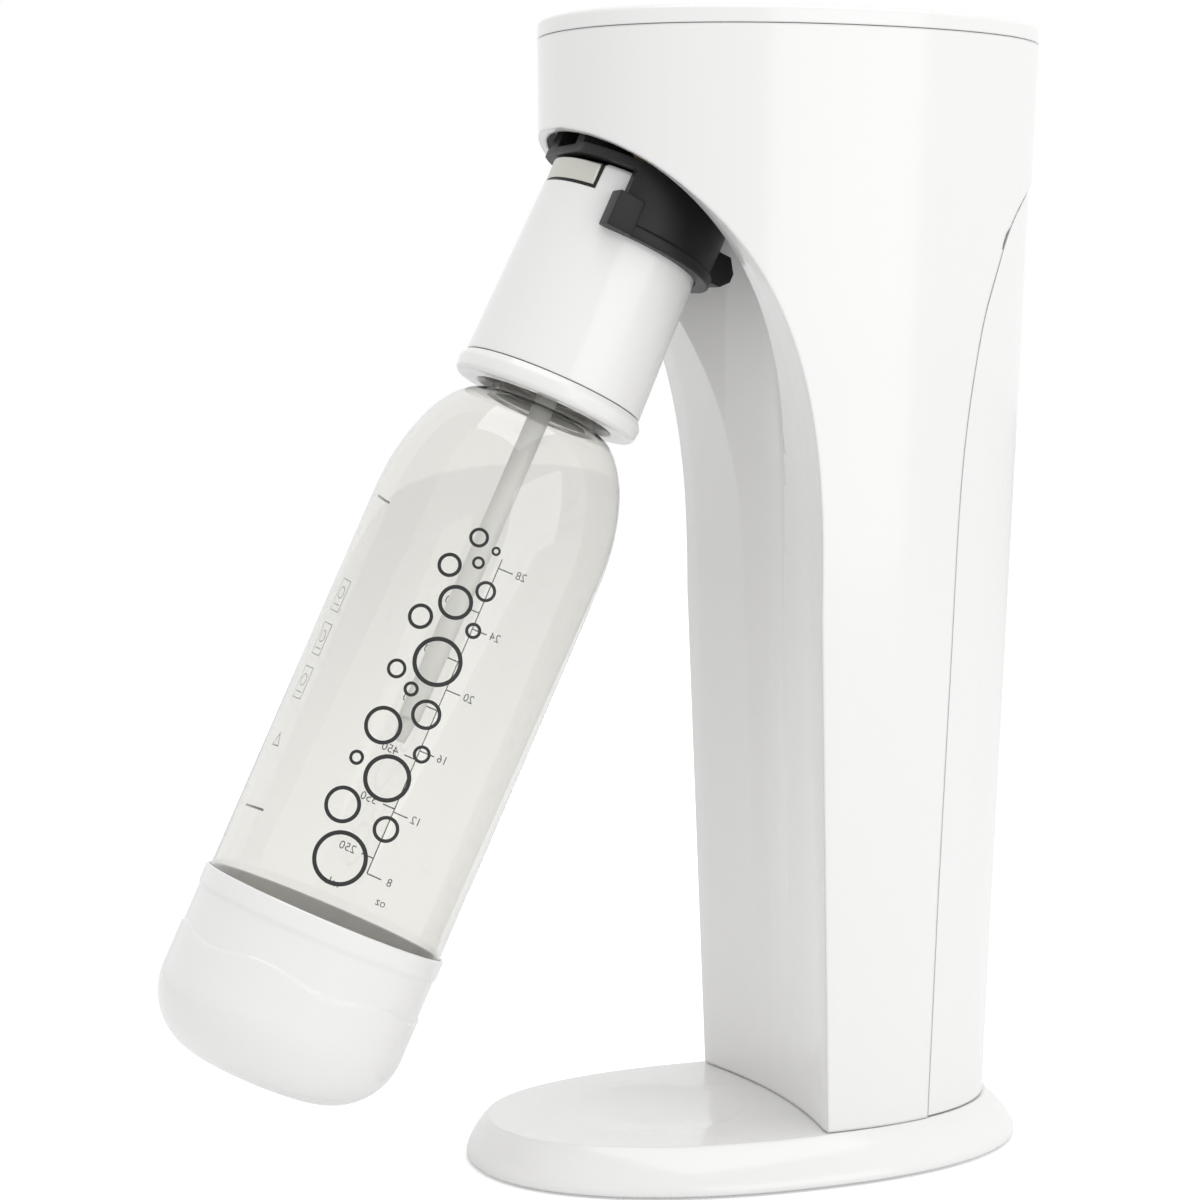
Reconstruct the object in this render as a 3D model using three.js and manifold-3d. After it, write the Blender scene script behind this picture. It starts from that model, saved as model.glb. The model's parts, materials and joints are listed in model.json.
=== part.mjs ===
// Home soda carbonator: a tapered oval tower on a flared base. A carriage tilts under the tower's head and
// holds the infuser, which the drinks bottle screws into. A gas cylinder stands behind a rear cover.
// Millimetres, +Z up, the front faces -Y. The origin is the centre of the base's underside.
import * as THREE from 'three';
import { mergeVertices } from 'three/addons/utils/BufferGeometryUtils.js';
import Module from 'manifold-3d';

const wasm = await Module();
wasm.setup();

// Clearances
const touch = 0.3; // between faces that rest on each other
const slip = 0.4; // around pieces that slide or turn
const seamGap = 0.4; // visible joint between two covers

// Overall sizes
const totalHeight = 414;
const lidHeight = 6.5;
const wall = 3; // housing and lid
const coverWall = 2.6;
const tilt = THREE.MathUtils.degToRad(24.9); // how far the bottle hangs out at rest

// Base
const baseHeight = 16.2;
const baseHalfWidth = 68.6;
const baseHalfDepth = 106.4;
const baseTopHalfWidth = 57;
const baseTopHalfDepth = 97.5;
const baseTopCentre = -1.7;
const basePower = 2.2; // exponent of the oval
const baseWall = 2.5;
const footHeight = 1;
const footRadius = 8;
const bottomCoverThickness = 2;
const dishRadius = 32;
const dishDepth = 1.8;

// Tower: an oval that widens and leans back a little from the base up to the lid
const towerPower = 2.16;
const towerLowHalfWidth = 55.6;
const towerLowHalfDepth = 84.6;
const towerLowCentre = 10.6;
const towerTopHalfWidth = 66.7;
const towerTopHalfDepth = 94.5;
const towerTopCentre = 16.6;
const frontHollow = 5.6; // how far the front face dips between its edges
const frontHollowHalfWidth = 52;
const seamCoverStep = 0.8; // the rear cover lies this far inside the tower's skin

// Bottle and its bay in the tower's front
const bayBackY = 10.5;
const bottleRadius = 43.7;
const bottleWall = 1.4;
const neckRadius = 20;
const neckWall = 2.6;
const neckHeight = 24;
const neckFlange = 23.5;
const shoulderHeight = 50;
const bottleFootHeight = 36;
const cupWall = 1.3;
const cupHeight = 62.8;
const cupCorner = 25;
const cupClearance = 4.1; // upright cup above the base
const bayClearance = 1.8; // around the bottle in the tower's front

// Infuser
const infuserTopRadius = 31.5;
const infuserLowRadius = 33.4;
const infuserHeight = 84;
const infuserWall = 2.5;
const ringHeight = 8;
const ringRadius = 35;
const ringMouth = 25;
const tubeRadius = 4;
const tubeBore = 2.5;
const tubeDrop = 130; // below the infuser

// Carriage
const pivotY = -62.3;
const pivotAbove = 16; // pivot above the infuser's top
const pivotBelowSeam = 29.5; // pivot under the lid seam
const pivotRadius = 2.5;
const bandHeight = 22;
const bandWall = 3.6;
const armHalfGap = 9;
const armThickness = 7;
const latchTravel = 1.5;
const leverTravel = 2.5;

// Gas side
const cylinderY = 52;
const cylinderRadius = 30;
const cylinderWall = 2.6;
const stubRadius = 8.8;
const valveRadius = 11;
const cradleHeight = 18;
const cradleFloor = 2;
const cylinderDrop = 4.6; // free height under the hanging cylinder, to unscrew it
const buttonRadius = 17;
const buttonY = 8;
const leverPivotY = 76;

// Places worked out from the sizes above
const bayRadius = bottleRadius + bayClearance;
const axisY = bayBackY - bayRadius;
const seamZ = totalHeight - lidHeight;
const towerLowZ = baseHeight + touch;
const pivotZ = seamZ - pivotBelowSeam;
const pivotAhead = axisY - pivotY; // pivot in front of the bottle's axis
const infuserTopZ = pivotZ - pivotAbove;
const infuserLowZ = infuserTopZ - infuserHeight;
const ceilingZ = pivotZ + 7;
const cupLowZ = baseHeight + cupClearance;
const bottleLowZ = cupLowZ + cupWall + 1;
const neckTopZ = infuserLowZ + 22;
const neckLowZ = neckTopZ - neckHeight;
const shoulderLowZ = neckLowZ - shoulderHeight;
const tubeLowZ = infuserLowZ - tubeDrop;
const shelfTopZ = seamZ - 31.5;
const blockLowZ = shelfTopZ - 20;
const blockTopZ = shelfTopZ + 8;
const stubTopZ = shelfTopZ - 4;
const leverZ = blockTopZ + 12.5;
const cylinderLowZ = towerLowZ + cradleFloor + cylinderDrop;
const cylinderTopZ = blockLowZ - 25;

const finishes = {
  white: { color: 0xf2f1ef, roughness: 0.22, metalness: 0 },
  black: { color: 0x1c1c1e, roughness: 0.45, metalness: 0 },
  silver: { color: 0xb9b3a6, roughness: 0.3, metalness: 1 },
  clear: { color: 0xe4ebec, roughness: 0.05, metalness: 0 },
  tube: { color: 0xeeeeea, roughness: 0.4, metalness: 0 },
  rubber: { color: 0x262626, roughness: 0.85, metalness: 0 },
  steel: { color: 0xa9adb0, roughness: 0.35, metalness: 1 },
  brass: { color: 0xc2a15a, roughness: 0.35, metalness: 1 },
  grey: { color: 0x8c8f92, roughness: 0.5, metalness: 0 },
};

// ---- Solids from three.js geometry ----

function solid(geometry) {
  const bare = geometry.index ? geometry.toNonIndexed() : geometry.clone();
  const extras = Object.keys(bare.attributes).filter((key) => key !== 'position');
  extras.forEach((key) => bare.deleteAttribute(key));
  const welded = mergeVertices(bare, 1e-4);
  const corners = welded.index.array;
  const faces = [];
  for (let i = 0; i < corners.length; i += 3) {
    const [a, b, c] = [corners[i], corners[i + 1], corners[i + 2]];
    if (a !== b && b !== c && c !== a) faces.push(a, b, c);
  }
  const vertProperties = welded.getAttribute('position').array;
  return new wasm.Manifold(new wasm.Mesh({ numProp: 3, vertProperties, triVerts: new Uint32Array(faces) }));
}

function geometryOf(made) {
  const mesh = made.getMesh();
  const shared = new THREE.BufferGeometry();
  shared.setAttribute('position', new THREE.BufferAttribute(mesh.vertProperties, 3));
  shared.setIndex(new THREE.BufferAttribute(mesh.triVerts, 1));
  const flat = shared.toNonIndexed();
  flat.computeVertexNormals();
  return flat;
}

const group = new THREE.Group();

function piece(name, made, finish, parent = group) {
  const mesh = new THREE.Mesh(geometryOf(made), new THREE.MeshStandardMaterial(finishes[finish]));
  mesh.name = name;
  parent.add(mesh);
  return mesh;
}

const join = (...solids) => solids.reduce((all, next) => all.add(next));
const cut = (from, ...solids) => solids.reduce((left, next) => left.subtract(next), from);

// A profile of [radius, height] points turned about Z: a ring, or a body whose ends lie on the axis.
function revolve(profile, segments = 24) {
  const points = profile.map(([radius, height]) => new THREE.Vector2(radius, height));
  if (profile[0][0] > 0) points.push(points[0].clone());
  if (THREE.ShapeUtils.area(points) < 0) points.reverse();
  return solid(new THREE.LatheGeometry(points, segments).rotateX(Math.PI / 2));
}

function disc(radius, lowZ, highZ, segments = 24) {
  return revolve([[0, lowZ], [radius, lowZ], [radius, highZ], [0, highZ]], segments);
}

function ring(inner, outer, lowZ, highZ, segments = 24) {
  return revolve([[inner, lowZ], [outer, lowZ], [outer, highZ], [inner, highZ]], segments);
}

function block(low, high) {
  const size = high.map((value, i) => value - low[i]);
  const middle = high.map((value, i) => (value + low[i]) / 2);
  return solid(new THREE.BoxGeometry(...size).translate(...middle));
}

function rod(from, to, radius, segments = 20) {
  const start = new THREE.Vector3(...from);
  const end = new THREE.Vector3(...to);
  const along = end.clone().sub(start);
  const yAxis = new THREE.Vector3(0, 1, 0);
  const turn = new THREE.Quaternion().setFromUnitVectors(yAxis, along.clone().normalize());
  const shape = new THREE.CylinderGeometry(radius, radius, along.length(), segments);
  return solid(shape.applyQuaternion(turn).translate(...start.add(end).multiplyScalar(0.5).toArray()));
}

// A shape drawn in (y, z) and stretched along X, its faces bowed back by dip(x).
function crosswise(shape, halfWidth, { dip = () => 0, steps = 1, curveSegments = 14 } = {}) {
  const settings = { depth: 2 * halfWidth, steps, bevelEnabled: false, curveSegments };
  const form = new THREE.ExtrudeGeometry(shape, settings);
  const basis = [new THREE.Vector3(0, 1, 0), new THREE.Vector3(0, 0, 1), new THREE.Vector3(1, 0, 0)];
  form.applyMatrix4(new THREE.Matrix4().makeBasis(...basis)).translate(-halfWidth, 0, 0);
  const places = form.getAttribute('position');
  for (let i = 0; i < places.count; i += 1) places.setY(i, places.getY(i) + dip(places.getX(i)));
  return solid(form);
}

// Ovals of the given exponent stacked as { z, halfWidth, halfDepth, centre } and skinned.
function loft(sections, power, segments = 48) {
  const rows = sections.length - 1;
  const form = new THREE.CylinderGeometry(1, 1, 1, segments, rows).rotateX(Math.PI / 2);
  const places = form.getAttribute('position');
  const fuller = (value) => Math.sign(value) * Math.abs(value) ** (2 / power);
  for (let i = 0; i < places.count; i += 1) {
    const { z, halfWidth, halfDepth, centre } = sections[Math.round((places.getZ(i) + 0.5) * rows)];
    const onRim = Math.hypot(places.getX(i), places.getY(i)) > 0.5 ? 1 : 0;
    const angle = Math.atan2(places.getY(i), places.getX(i));
    const x = onRim * halfWidth * fuller(Math.cos(angle));
    places.setXYZ(i, x, centre + onRim * halfDepth * fuller(Math.sin(angle)), z);
  }
  return solid(form);
}

// A tube of a round section along a path.
function hose(path, radius, steps, sides = 8) {
  const section = new THREE.Shape().absarc(0, 0, radius, 0, 2 * Math.PI);
  const options = { steps, extrudePath: path, curveSegments: sides / 2, bevelEnabled: false };
  return solid(new THREE.ExtrudeGeometry(section, options));
}

class Coil extends THREE.Curve {
  constructor(radius, length, turns) {
    super();
    Object.assign(this, { radius, length, turns });
  }

  getPoint(t, target = new THREE.Vector3()) {
    const angle = 2 * Math.PI * this.turns * t;
    return target.set(this.radius * Math.cos(angle), this.radius * Math.sin(angle), this.length * t);
  }
}

function spring(radius, wire, length, turns) {
  return hose(new Coil(radius, length - 2 * wire, turns), wire, turns * 8, 6).translate([0, 0, wire]);
}

// Points of a quarter ellipse from the bottom or top of a round body to its side.
function quarter(radius, height, startZ, count = 7) {
  return Array.from({ length: count }, (_, i) => {
    const angle = (Math.PI / 2) * (i / (count - 1));
    return [radius * Math.sin(angle), startZ + height * (1 - Math.cos(angle))];
  });
}

// ---- Base ----

// Share of the flare reached at each height under the top rim.
const flare = [[0, 0], [0.8, 0.1], [3.4, 0.36], [7.6, 0.7], [12, 0.95], [14.2, 1], [15.2, 0.97]];

function baseSections(inset, drop) {
  return flare.map(([below, share]) => ({
    z: baseHeight - drop - below,
    halfWidth: THREE.MathUtils.lerp(baseTopHalfWidth, baseHalfWidth, share) - inset,
    halfDepth: THREE.MathUtils.lerp(baseTopHalfDepth, baseHalfDepth, share) - inset,
    centre: THREE.MathUtils.lerp(baseTopCentre, 0, share),
  })).reverse();
}

const screwRadius = 2;
const screwHead = 4;
const screwHeadZ = 7;
const bossRadius = 4.6;
const bossTopZ = 44;
const screwPlaces = [1, -1].flatMap((side) => [24, 43].map((y) => {
  const reach = Math.abs((y - towerLowCentre) / (towerLowHalfDepth - wall)) ** towerPower;
  const innerX = (towerLowHalfWidth - wall) * (1 - reach) ** (1 / towerPower);
  return [side * (innerX - bossRadius + 1.2), y];
}));

function basePlate() {
  const room = baseSections(baseWall, baseWall).filter((_, i) => i % 2 === 0);
  const shell = cut(loft(baseSections(0, 0), basePower), loft(room, basePower));
  const dish = revolve([[0, baseHeight - dishDepth], [dishRadius * 0.5, baseHeight - dishDepth * 0.86],
    [dishRadius * 0.8, baseHeight - dishDepth * 0.46], [dishRadius, baseHeight + 0.01],
    [dishRadius, baseHeight + 5], [0, baseHeight + 5]]).translate([0, axisY, 0]);
  const dishFloorZ = baseHeight - baseWall - dishDepth;
  const dishFloor = disc(dishRadius, dishFloorZ, baseHeight - 0.5).translate([0, axisY, 0]);
  const pillarLowZ = footHeight + bottomCoverThickness + 2 * touch;
  const pillar = disc(screwHead + 2, pillarLowZ, baseHeight - 1, 16);
  const pillars = screwPlaces.map(([x, y]) => pillar.translate([x, y, 0]));
  const holes = screwPlaces.map(([x, y]) => join(
    disc(screwRadius + slip, pillarLowZ - 1, baseHeight + 1, 16),
    disc(screwHead + slip, pillarLowZ - 1, screwHeadZ + 3 + touch, 16),
  ).translate([x, y, 0]));
  return cut(join(shell, dishFloor, ...pillars), dish, ...holes);
}

piece('base_plate', basePlate(), 'white');

function bottomCover() {
  const outline = baseSections(baseWall + 3, 0)[1];
  const low = footHeight + 0.2;
  return loft([{ ...outline, z: low }, { ...outline, z: low + bottomCoverThickness }], basePower);
}

piece('base_bottom_cover', bottomCover(), 'grey');

[[38, 52], [38, -52], [-38, 52], [-38, -52]].forEach(([x, y], i) => {
  const foot = revolve([[0, 0], [footRadius - 0.6, 0], [footRadius, 0.5], [footRadius, footHeight - 0.1],
    [0, footHeight - 0.1]], 16);
  piece(`rubber_foot_${i + 1}`, foot, 'rubber').position.set(x, y, 0);
});

screwPlaces.forEach(([x, y], i) => {
  const screw = revolve([[0, screwHeadZ], [screwHead, screwHeadZ], [screwHead, screwHeadZ + 3],
    [screwRadius, screwHeadZ + 3], [screwRadius, 34], [0, 36]], 16);
  piece(`base_screw_${i + 1}`, screw, 'steel').position.set(x, y, 0);
});

// ---- Tower ----

function towerSection(z, inset) {
  const share = (z - towerLowZ) / (seamZ - towerLowZ);
  return {
    z,
    halfWidth: THREE.MathUtils.lerp(towerLowHalfWidth, towerTopHalfWidth, share) - inset,
    halfDepth: THREE.MathUtils.lerp(towerLowHalfDepth, towerTopHalfDepth, share) - inset,
    centre: THREE.MathUtils.lerp(towerLowCentre, towerTopCentre, share),
  };
}

const towerSkin = (lowZ, highZ, inset = 0) => {
  const sections = [towerSection(lowZ, inset), towerSection(highZ, inset)];
  return loft(sections, towerPower, 56);
};

const frontDip = (x) => frontHollow * Math.max(0, 1 - (x / frontHollowHalfWidth) ** 2);

// The open front: straight up the column, then an arch that sweeps forward to the lower edge of the head.
function frontOpening(back, up) {
  const far = -200;
  const shape = new THREE.Shape();
  shape.moveTo(far, -20);
  shape.lineTo(8 + back, -20);
  shape.lineTo(8 + back, towerLowZ);
  shape.lineTo(2 + back, seamZ - 205 + up);
  shape.bezierCurveTo(-4 + back, seamZ - 150 + up, -12 + back, seamZ - 84 + up, -82, seamZ - 33.5 + up);
  shape.lineTo(far, seamZ - 33.5 + up);
  return crosswise(shape, 90, { dip: frontDip, steps: 12 });
}

function bottleBay(grow) {
  const bay = disc(bayRadius + grow, 0, ceilingZ + grow, 56).translate([0, axisY, 0]);
  return grow ? bay : bay.intersect(towerSkin(-5, seamZ, wall));
}

// Side outline of everything behind the rear cover's seam, moved back by the given gap.
function rearRegion(gap) {
  const shape = new THREE.Shape();
  shape.moveTo(50.6 + gap, -20);
  shape.lineTo(51 + gap, baseHeight);
  const seam = [[53.2, 0.24], [56.3, 0.44], [59.4, 0.617], [66, 0.727], [74, 0.79], [87, 0.85]];
  const places = seam.map(([y, share]) => new THREE.Vector2(y + gap, share * seamZ - 1.2 * gap));
  shape.splineThru([...places, new THREE.Vector2(116, 0.905 * seamZ - 1.2 * gap)]);
  shape.lineTo(200, 0.905 * seamZ - 1.2 * gap);
  shape.lineTo(200, -20);
  return crosswise(shape, 90, { curveSegments: 3 });
}

function shelf() {
  const behindBay = block([-90, 16, shelfTopZ - 4], [90, 130, shelfTopZ]);
  const plate = behindBay.intersect(towerSkin(-5, seamZ, wall - 1));
  return cut(plate, disc(15 + slip, 0, seamZ).translate([0, cylinderY, 0]));
}

const bossWidth = 7;
const bossInnerX = armHalfGap + armThickness + slip;

function pivotBoss(side) {
  const [near, far] = [side * bossInnerX, side * (bossInnerX + bossWidth)];
  const [low, high] = [Math.min(near, far), Math.max(near, far)];
  return join(
    rod([low, pivotY, pivotZ], [high, pivotY, pivotZ], pivotRadius + 3),
    block([low, pivotY - pivotRadius - 3, pivotZ], [high, pivotY + pivotRadius + 3, ceilingZ + 1]),
  );
}

function mainHousing() {
  const skin = towerSkin(towerLowZ, seamZ - touch);
  const inside = towerSkin(towerLowZ - 1, seamZ + 1, wall);
  const room = cut(inside, frontOpening(wall, wall * 0.6), bottleBay(wall));
  const shell = cut(skin, frontOpening(0, 0), bottleBay(0), room);
  const bosses = screwPlaces.map(([x, y]) => disc(bossRadius, towerLowZ, bossTopZ, 16).translate([x, y, 0])
    .intersect(towerSkin(0, seamZ, wall - 1)));
  const holes = screwPlaces.map(([x, y]) => disc(screwRadius + touch, 0, 37, 16).translate([x, y, 0]));
  const holeReach = bossInnerX + bossWidth + 1;
  const pivotHole = rod([-holeReach, pivotY, pivotZ], [holeReach, pivotY, pivotZ], pivotRadius + touch);
  const hosePort = disc(hoseRadius + 1 + slip, ceilingZ - 1, ceilingZ + wall + 1, 24)
    .translate([0, pivotY, 0]);
  const catchSlot = block([-7, bayBackY - 8, latchZ - 5], [7, bayBackY + wall + 4, latchZ + 5]);
  const filled = join(shell, shelf(), ...bosses, pivotBoss(1), pivotBoss(-1));
  return cut(filled, ...holes, pivotHole, hosePort, catchSlot, rearRegion(0));
}

const hoseRadius = 3;
const latchZ = infuserTopZ - 12; // middle of the latch when the carriage is upright

piece('main_housing', mainHousing(), 'white');

function rearCover() {
  const lowZ = towerLowZ + touch;
  const solidForm = towerSkin(lowZ, seamZ - 10, seamCoverStep);
  const shell = cut(solidForm, towerSkin(lowZ - 5, seamZ, seamCoverStep + coverWall));
  return shell.intersect(rearRegion(seamGap));
}

piece('rear_cover', rearCover(), 'white');

function topLid() {
  const lower = towerSection(seamZ, 0);
  const edge = [[0, 0], [4.6, 0], [5.9, 1], [6.5, 3]];
  const tops = edge.map(([up, inset]) => ({
    z: seamZ + (up * lidHeight) / 6.5,
    halfWidth: lower.halfWidth - inset,
    halfDepth: lower.halfDepth - inset,
    centre: lower.centre,
  }));
  const under = towerSkin(seamZ - 1, seamZ + lidHeight - wall, wall);
  const lip = cut(towerSkin(seamZ - 4, seamZ + lidHeight - 2, wall + touch),
    towerSkin(seamZ - 5, seamZ + lidHeight - wall, wall + touch + 2));
  const well = ring(buttonRadius + slip, buttonRadius + slip + 2, seamZ - 3, seamZ + lidHeight - 2)
    .translate([0, buttonY, 0]);
  const mouth = disc(buttonRadius + slip, seamZ - 10, totalHeight + 1).translate([0, buttonY, 0]);
  return cut(join(cut(loft(tops, towerPower, 56), under), lip, well), mouth);
}

piece('top_lid', topLid(), 'white');

// ---- Gas cylinder and valve ----

function cradle() {
  const cup = ring(cylinderRadius + slip, cylinderRadius + slip + 2.4, towerLowZ, towerLowZ + cradleHeight);
  return join(cup, disc(cylinderRadius + 1, towerLowZ, towerLowZ + cradleFloor));
}

piece('cylinder_cradle', cradle(), 'grey').position.y = cylinderY;

function gasCylinder() {
  const neckBore = 7;
  const neck = 12;
  const low = cylinderLowZ;
  const r = cylinderRadius;
  const sideTop = cylinderTopZ - 34;
  const outer = [[0, low], [r - 7, low], [r - 2, low + 2.4], [r, low + 7], [r, sideTop],
    [r - 1.6, sideTop + 8],
    [0.75 * r + 1.5, sideTop + 16], [0.5 * r + 2, sideTop + 23], [neck, sideTop + 28], [neck, cylinderTopZ],
    [neckBore, cylinderTopZ], [neckBore, sideTop + 24]];
  const inner = [[0.5 * r - 1, sideTop + 21], [0.75 * r - 1, sideTop + 14], [r - 4.4, sideTop + 7],
    [r - cylinderWall, sideTop - 1], [r - cylinderWall, low + 9], [r - 5, low + 5], [0, low + 4]];
  return revolve([...outer, ...inner]);
}

piece('gas_cylinder', gasCylinder(), 'steel').position.y = cylinderY;

function cylinderValve() {
  const hex = disc(valveRadius, cylinderTopZ + touch, blockLowZ - 1, 6);
  const collar = disc(valveRadius + 1.6, cylinderTopZ + 8, cylinderTopZ + 12, 32);
  const stub = disc(stubRadius, blockLowZ - 2, stubTopZ, 32);
  const root = disc(6.6, cylinderTopZ - 10, cylinderTopZ + 1, 24);
  const vent = disc(1.6, stubTopZ - 8, stubTopZ + 1, 16);
  return cut(join(hex, collar, stub, root), vent);
}

piece('cylinder_valve', cylinderValve(), 'brass').position.y = cylinderY;

const washerHeight = 1.6;
const washerLowZ = stubTopZ + touch;
piece('cylinder_washer', ring(3.4, stubRadius - 0.2, washerLowZ, washerLowZ + washerHeight), 'rubber')
  .position.y = cylinderY;

const blockHalfWidth = 16;
const leverHalfWidth = 5;
const springY = 33;

function valveBlock() {
  const front = 26 - cylinderY;
  const back = leverPivotY + 8 - cylinderY;
  const flange = block([-blockHalfWidth, front, shelfTopZ + touch], [blockHalfWidth, back, blockTopZ]);
  const body = disc(15, blockLowZ, blockTopZ);
  const ears = [1, -1].map((side) => {
    const [a, b] = [side * (leverHalfWidth + slip), side * (leverHalfWidth + slip + 4)];
    const y = leverPivotY - cylinderY;
    return block([Math.min(a, b), y - 5, blockTopZ - 1], [Math.max(a, b), y + 5, leverZ + 4]);
  });
  const thread = disc(stubRadius + touch, blockLowZ - 1, stubTopZ + washerHeight + 2 * touch);
  const pinWay = disc(2 + touch, stubTopZ, blockTopZ + 1, 24);
  const pivotWayY = leverPivotY - cylinderY;
  const pivotWay = rod([-20, pivotWayY, leverZ], [20, pivotWayY, leverZ], 1.5 + touch);
  return cut(join(flange, body, ...ears), thread, pinWay, pivotWay);
}

piece('valve_block', valveBlock(), 'black').position.y = cylinderY;

const reliefX = -24;
function reliefValve() {
  const body = rod([-blockHalfWidth - touch, 0, 0], [reliefX, 0, 0], 4.2);
  const capNut = rod([reliefX, 0, 0], [reliefX - 4, 0, 0], 5.4, 6);
  return join(body, capNut);
}

const safetyValveZ = (shelfTopZ + blockTopZ) / 2 + touch + 1.5;
piece('safety_valve', reliefValve(), 'brass').position.set(0, cylinderY, safetyValveZ);

function rockerLever() {
  const front = buttonY - 6;
  const arm = block([-leverHalfWidth, front, leverZ - 2.5], [leverHalfWidth, leverPivotY, leverZ + 2.5]);
  const eye = rod([-leverHalfWidth, leverPivotY, leverZ], [leverHalfWidth, leverPivotY, leverZ], 4);
  const hole = rod([-9, leverPivotY, leverZ], [9, leverPivotY, leverZ], 1.5 + touch);
  return cut(join(arm, eye), hole);
}

piece('rocker_lever', rockerLever(), 'steel');
const leverPinReach = leverHalfWidth + 5;
const leverPin = rod([-leverPinReach, leverPivotY, leverZ], [leverPinReach, leverPivotY, leverZ], 1.5);
piece('lever_pin', leverPin, 'steel');

const pinTopZ = leverZ - 2.5 - touch;
piece('actuator_pin', revolve([[0, stubTopZ + 2.6], [1.3, stubTopZ + 2.6], [1.3, stubTopZ + 4],
  [2, stubTopZ + 4.6], [2, pinTopZ], [0, pinTopZ]], 16), 'steel').position.y = cylinderY;

const springHeight = pinTopZ - blockTopZ - touch;
piece('lever_spring', spring(3.6, 0.5, springHeight, 3), 'steel').position.set(0, springY, blockTopZ + touch);

function button() {
  const low = leverZ + 2.5 + touch;
  const top = totalHeight - 0.3;
  return revolve([[0, low], [2.5, low], [5.5, low + 1.4], [5.5, seamZ + 1], [buttonRadius - 1.5, seamZ + 1],
    [buttonRadius - 1.5, seamZ - 2], [buttonRadius, seamZ - 2], [buttonRadius, top - 1.6],
    [buttonRadius - 1, top - 0.5], [buttonRadius - 3, top], [0, top - 0.6]], 28);
}

piece('carbonation_button', button(), 'white').position.y = buttonY;

const fittingTopZ = ceilingZ + wall + 2;
function hoseFitting() {
  const stem = ring(1.5, hoseRadius + 1, pivotZ + 6.3, fittingTopZ, 24);
  return join(stem, ring(1.5, hoseRadius + 3, ceilingZ + wall + touch, fittingTopZ, 24));
}

piece('hose_fitting', hoseFitting(), 'brass').position.y = pivotY;

const hoseRunZ = seamZ - 13;
const hosePath = new THREE.CatmullRomCurve3([
  [11.5, 33, blockTopZ + touch], [11.5, 33, blockTopZ + 4], [12.5, 25, hoseRunZ], [13, 0, hoseRunZ],
  [10, pivotY + 34, hoseRunZ], [3, pivotY + 9, hoseRunZ], [0, pivotY, hoseRunZ - 2],
  [0, pivotY, fittingTopZ + touch],
].map((place) => new THREE.Vector3(...place)));
piece('gas_hose', hose(hosePath, hoseRadius, 24, 8), 'grey');

// ---- Carriage, infuser and bottle: built upright, then tilted about the pivot ----

const carriage = new THREE.Group();
carriage.position.set(0, pivotY, pivotZ);
carriage.rotation.x = -tilt;
group.add(carriage);
const upright = new THREE.Group(); // its origin is the foot of the upright bottle's axis
upright.position.set(0, pivotAhead, -pivotZ);
carriage.add(upright);

const infuserRadius = (z) => THREE.MathUtils.lerp(infuserLowRadius, infuserTopRadius,
  (z - infuserLowZ - ringHeight) / (infuserHeight - ringHeight));
const bandLowZ = infuserTopZ - bandHeight;
const bandInner = infuserRadius(bandLowZ) + slip;
const bandOuter = bandInner + bandWall;
const plateLowZ = infuserTopZ + 0.6;
const plateTopZ = plateLowZ + 3.4;
const plateFront = -pivotAhead - 3.7; // stays behind the head's front wall
const nozzleRadius = 5;

function carriageFrame() {
  const band = ring(bandInner, bandOuter, bandLowZ, plateTopZ, 36);
  const rim = ring(bandInner, bandOuter + 1.4, bandLowZ, bandLowZ + 4, 36);
  const behind = block([-50, -14, bandLowZ - 1], [50, 50, plateTopZ + 1]);
  const lugs = [1, -1].map((side) => {
    const [a, b] = [side * (bandInner - 3.6), side * (bandInner + 3.4)];
    const lug = block([Math.min(a, b), -18, bandLowZ + 9], [Math.max(a, b), -8, bandLowZ + 17]);
    return cut(lug, disc(bandInner, 0, seamZ, 36));
  });
  const plateArea = block([-50, plateFront, 0], [50, 50, seamZ]);
  const plate = disc(bandOuter, plateLowZ, plateTopZ, 36).intersect(plateArea);
  const arms = [1, -1].map((side) => {
    const [a, b] = [side * armHalfGap, side * (armHalfGap + armThickness)];
    const [low, high] = [Math.min(a, b), Math.max(a, b)];
    const sideOutline = new THREE.Shape([new THREE.Vector2(plateFront, plateLowZ + 1),
      new THREE.Vector2(-4, plateLowZ + 1),
      new THREE.Vector2(-pivotAhead + 4, pivotZ + 2), new THREE.Vector2(-pivotAhead - 4, pivotZ + 1)]);
    const web = crosswise(sideOutline, armThickness / 2).translate([(low + high) / 2, 0, 0]);
    return join(web, rod([low, -pivotAhead, pivotZ], [high, -pivotAhead, pivotZ], pivotRadius + 2.6));
  });
  const latchWay = block([-7.5, 20, latchZ - 6], [7.5, 50, latchZ + 6.5]);
  const pinWay = rod([-30, -pivotAhead, pivotZ], [30, -pivotAhead, pivotZ], pivotRadius + touch);
  const wrap = join(band, rim).intersect(behind);
  return cut(join(wrap, ...lugs, plate, ...arms), disc(nozzleRadius + slip, 0, seamZ), latchWay, pinWay);
}

piece('carriage_frame', carriageFrame(), 'black', upright);

const pinHalfLength = bossInnerX + bossWidth;
const pivotPin = rod([-pinHalfLength, pivotY, pivotZ], [pinHalfLength, pivotY, pivotZ], pivotRadius);
piece('carriage_pivot_pin', pivotPin, 'steel');

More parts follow.
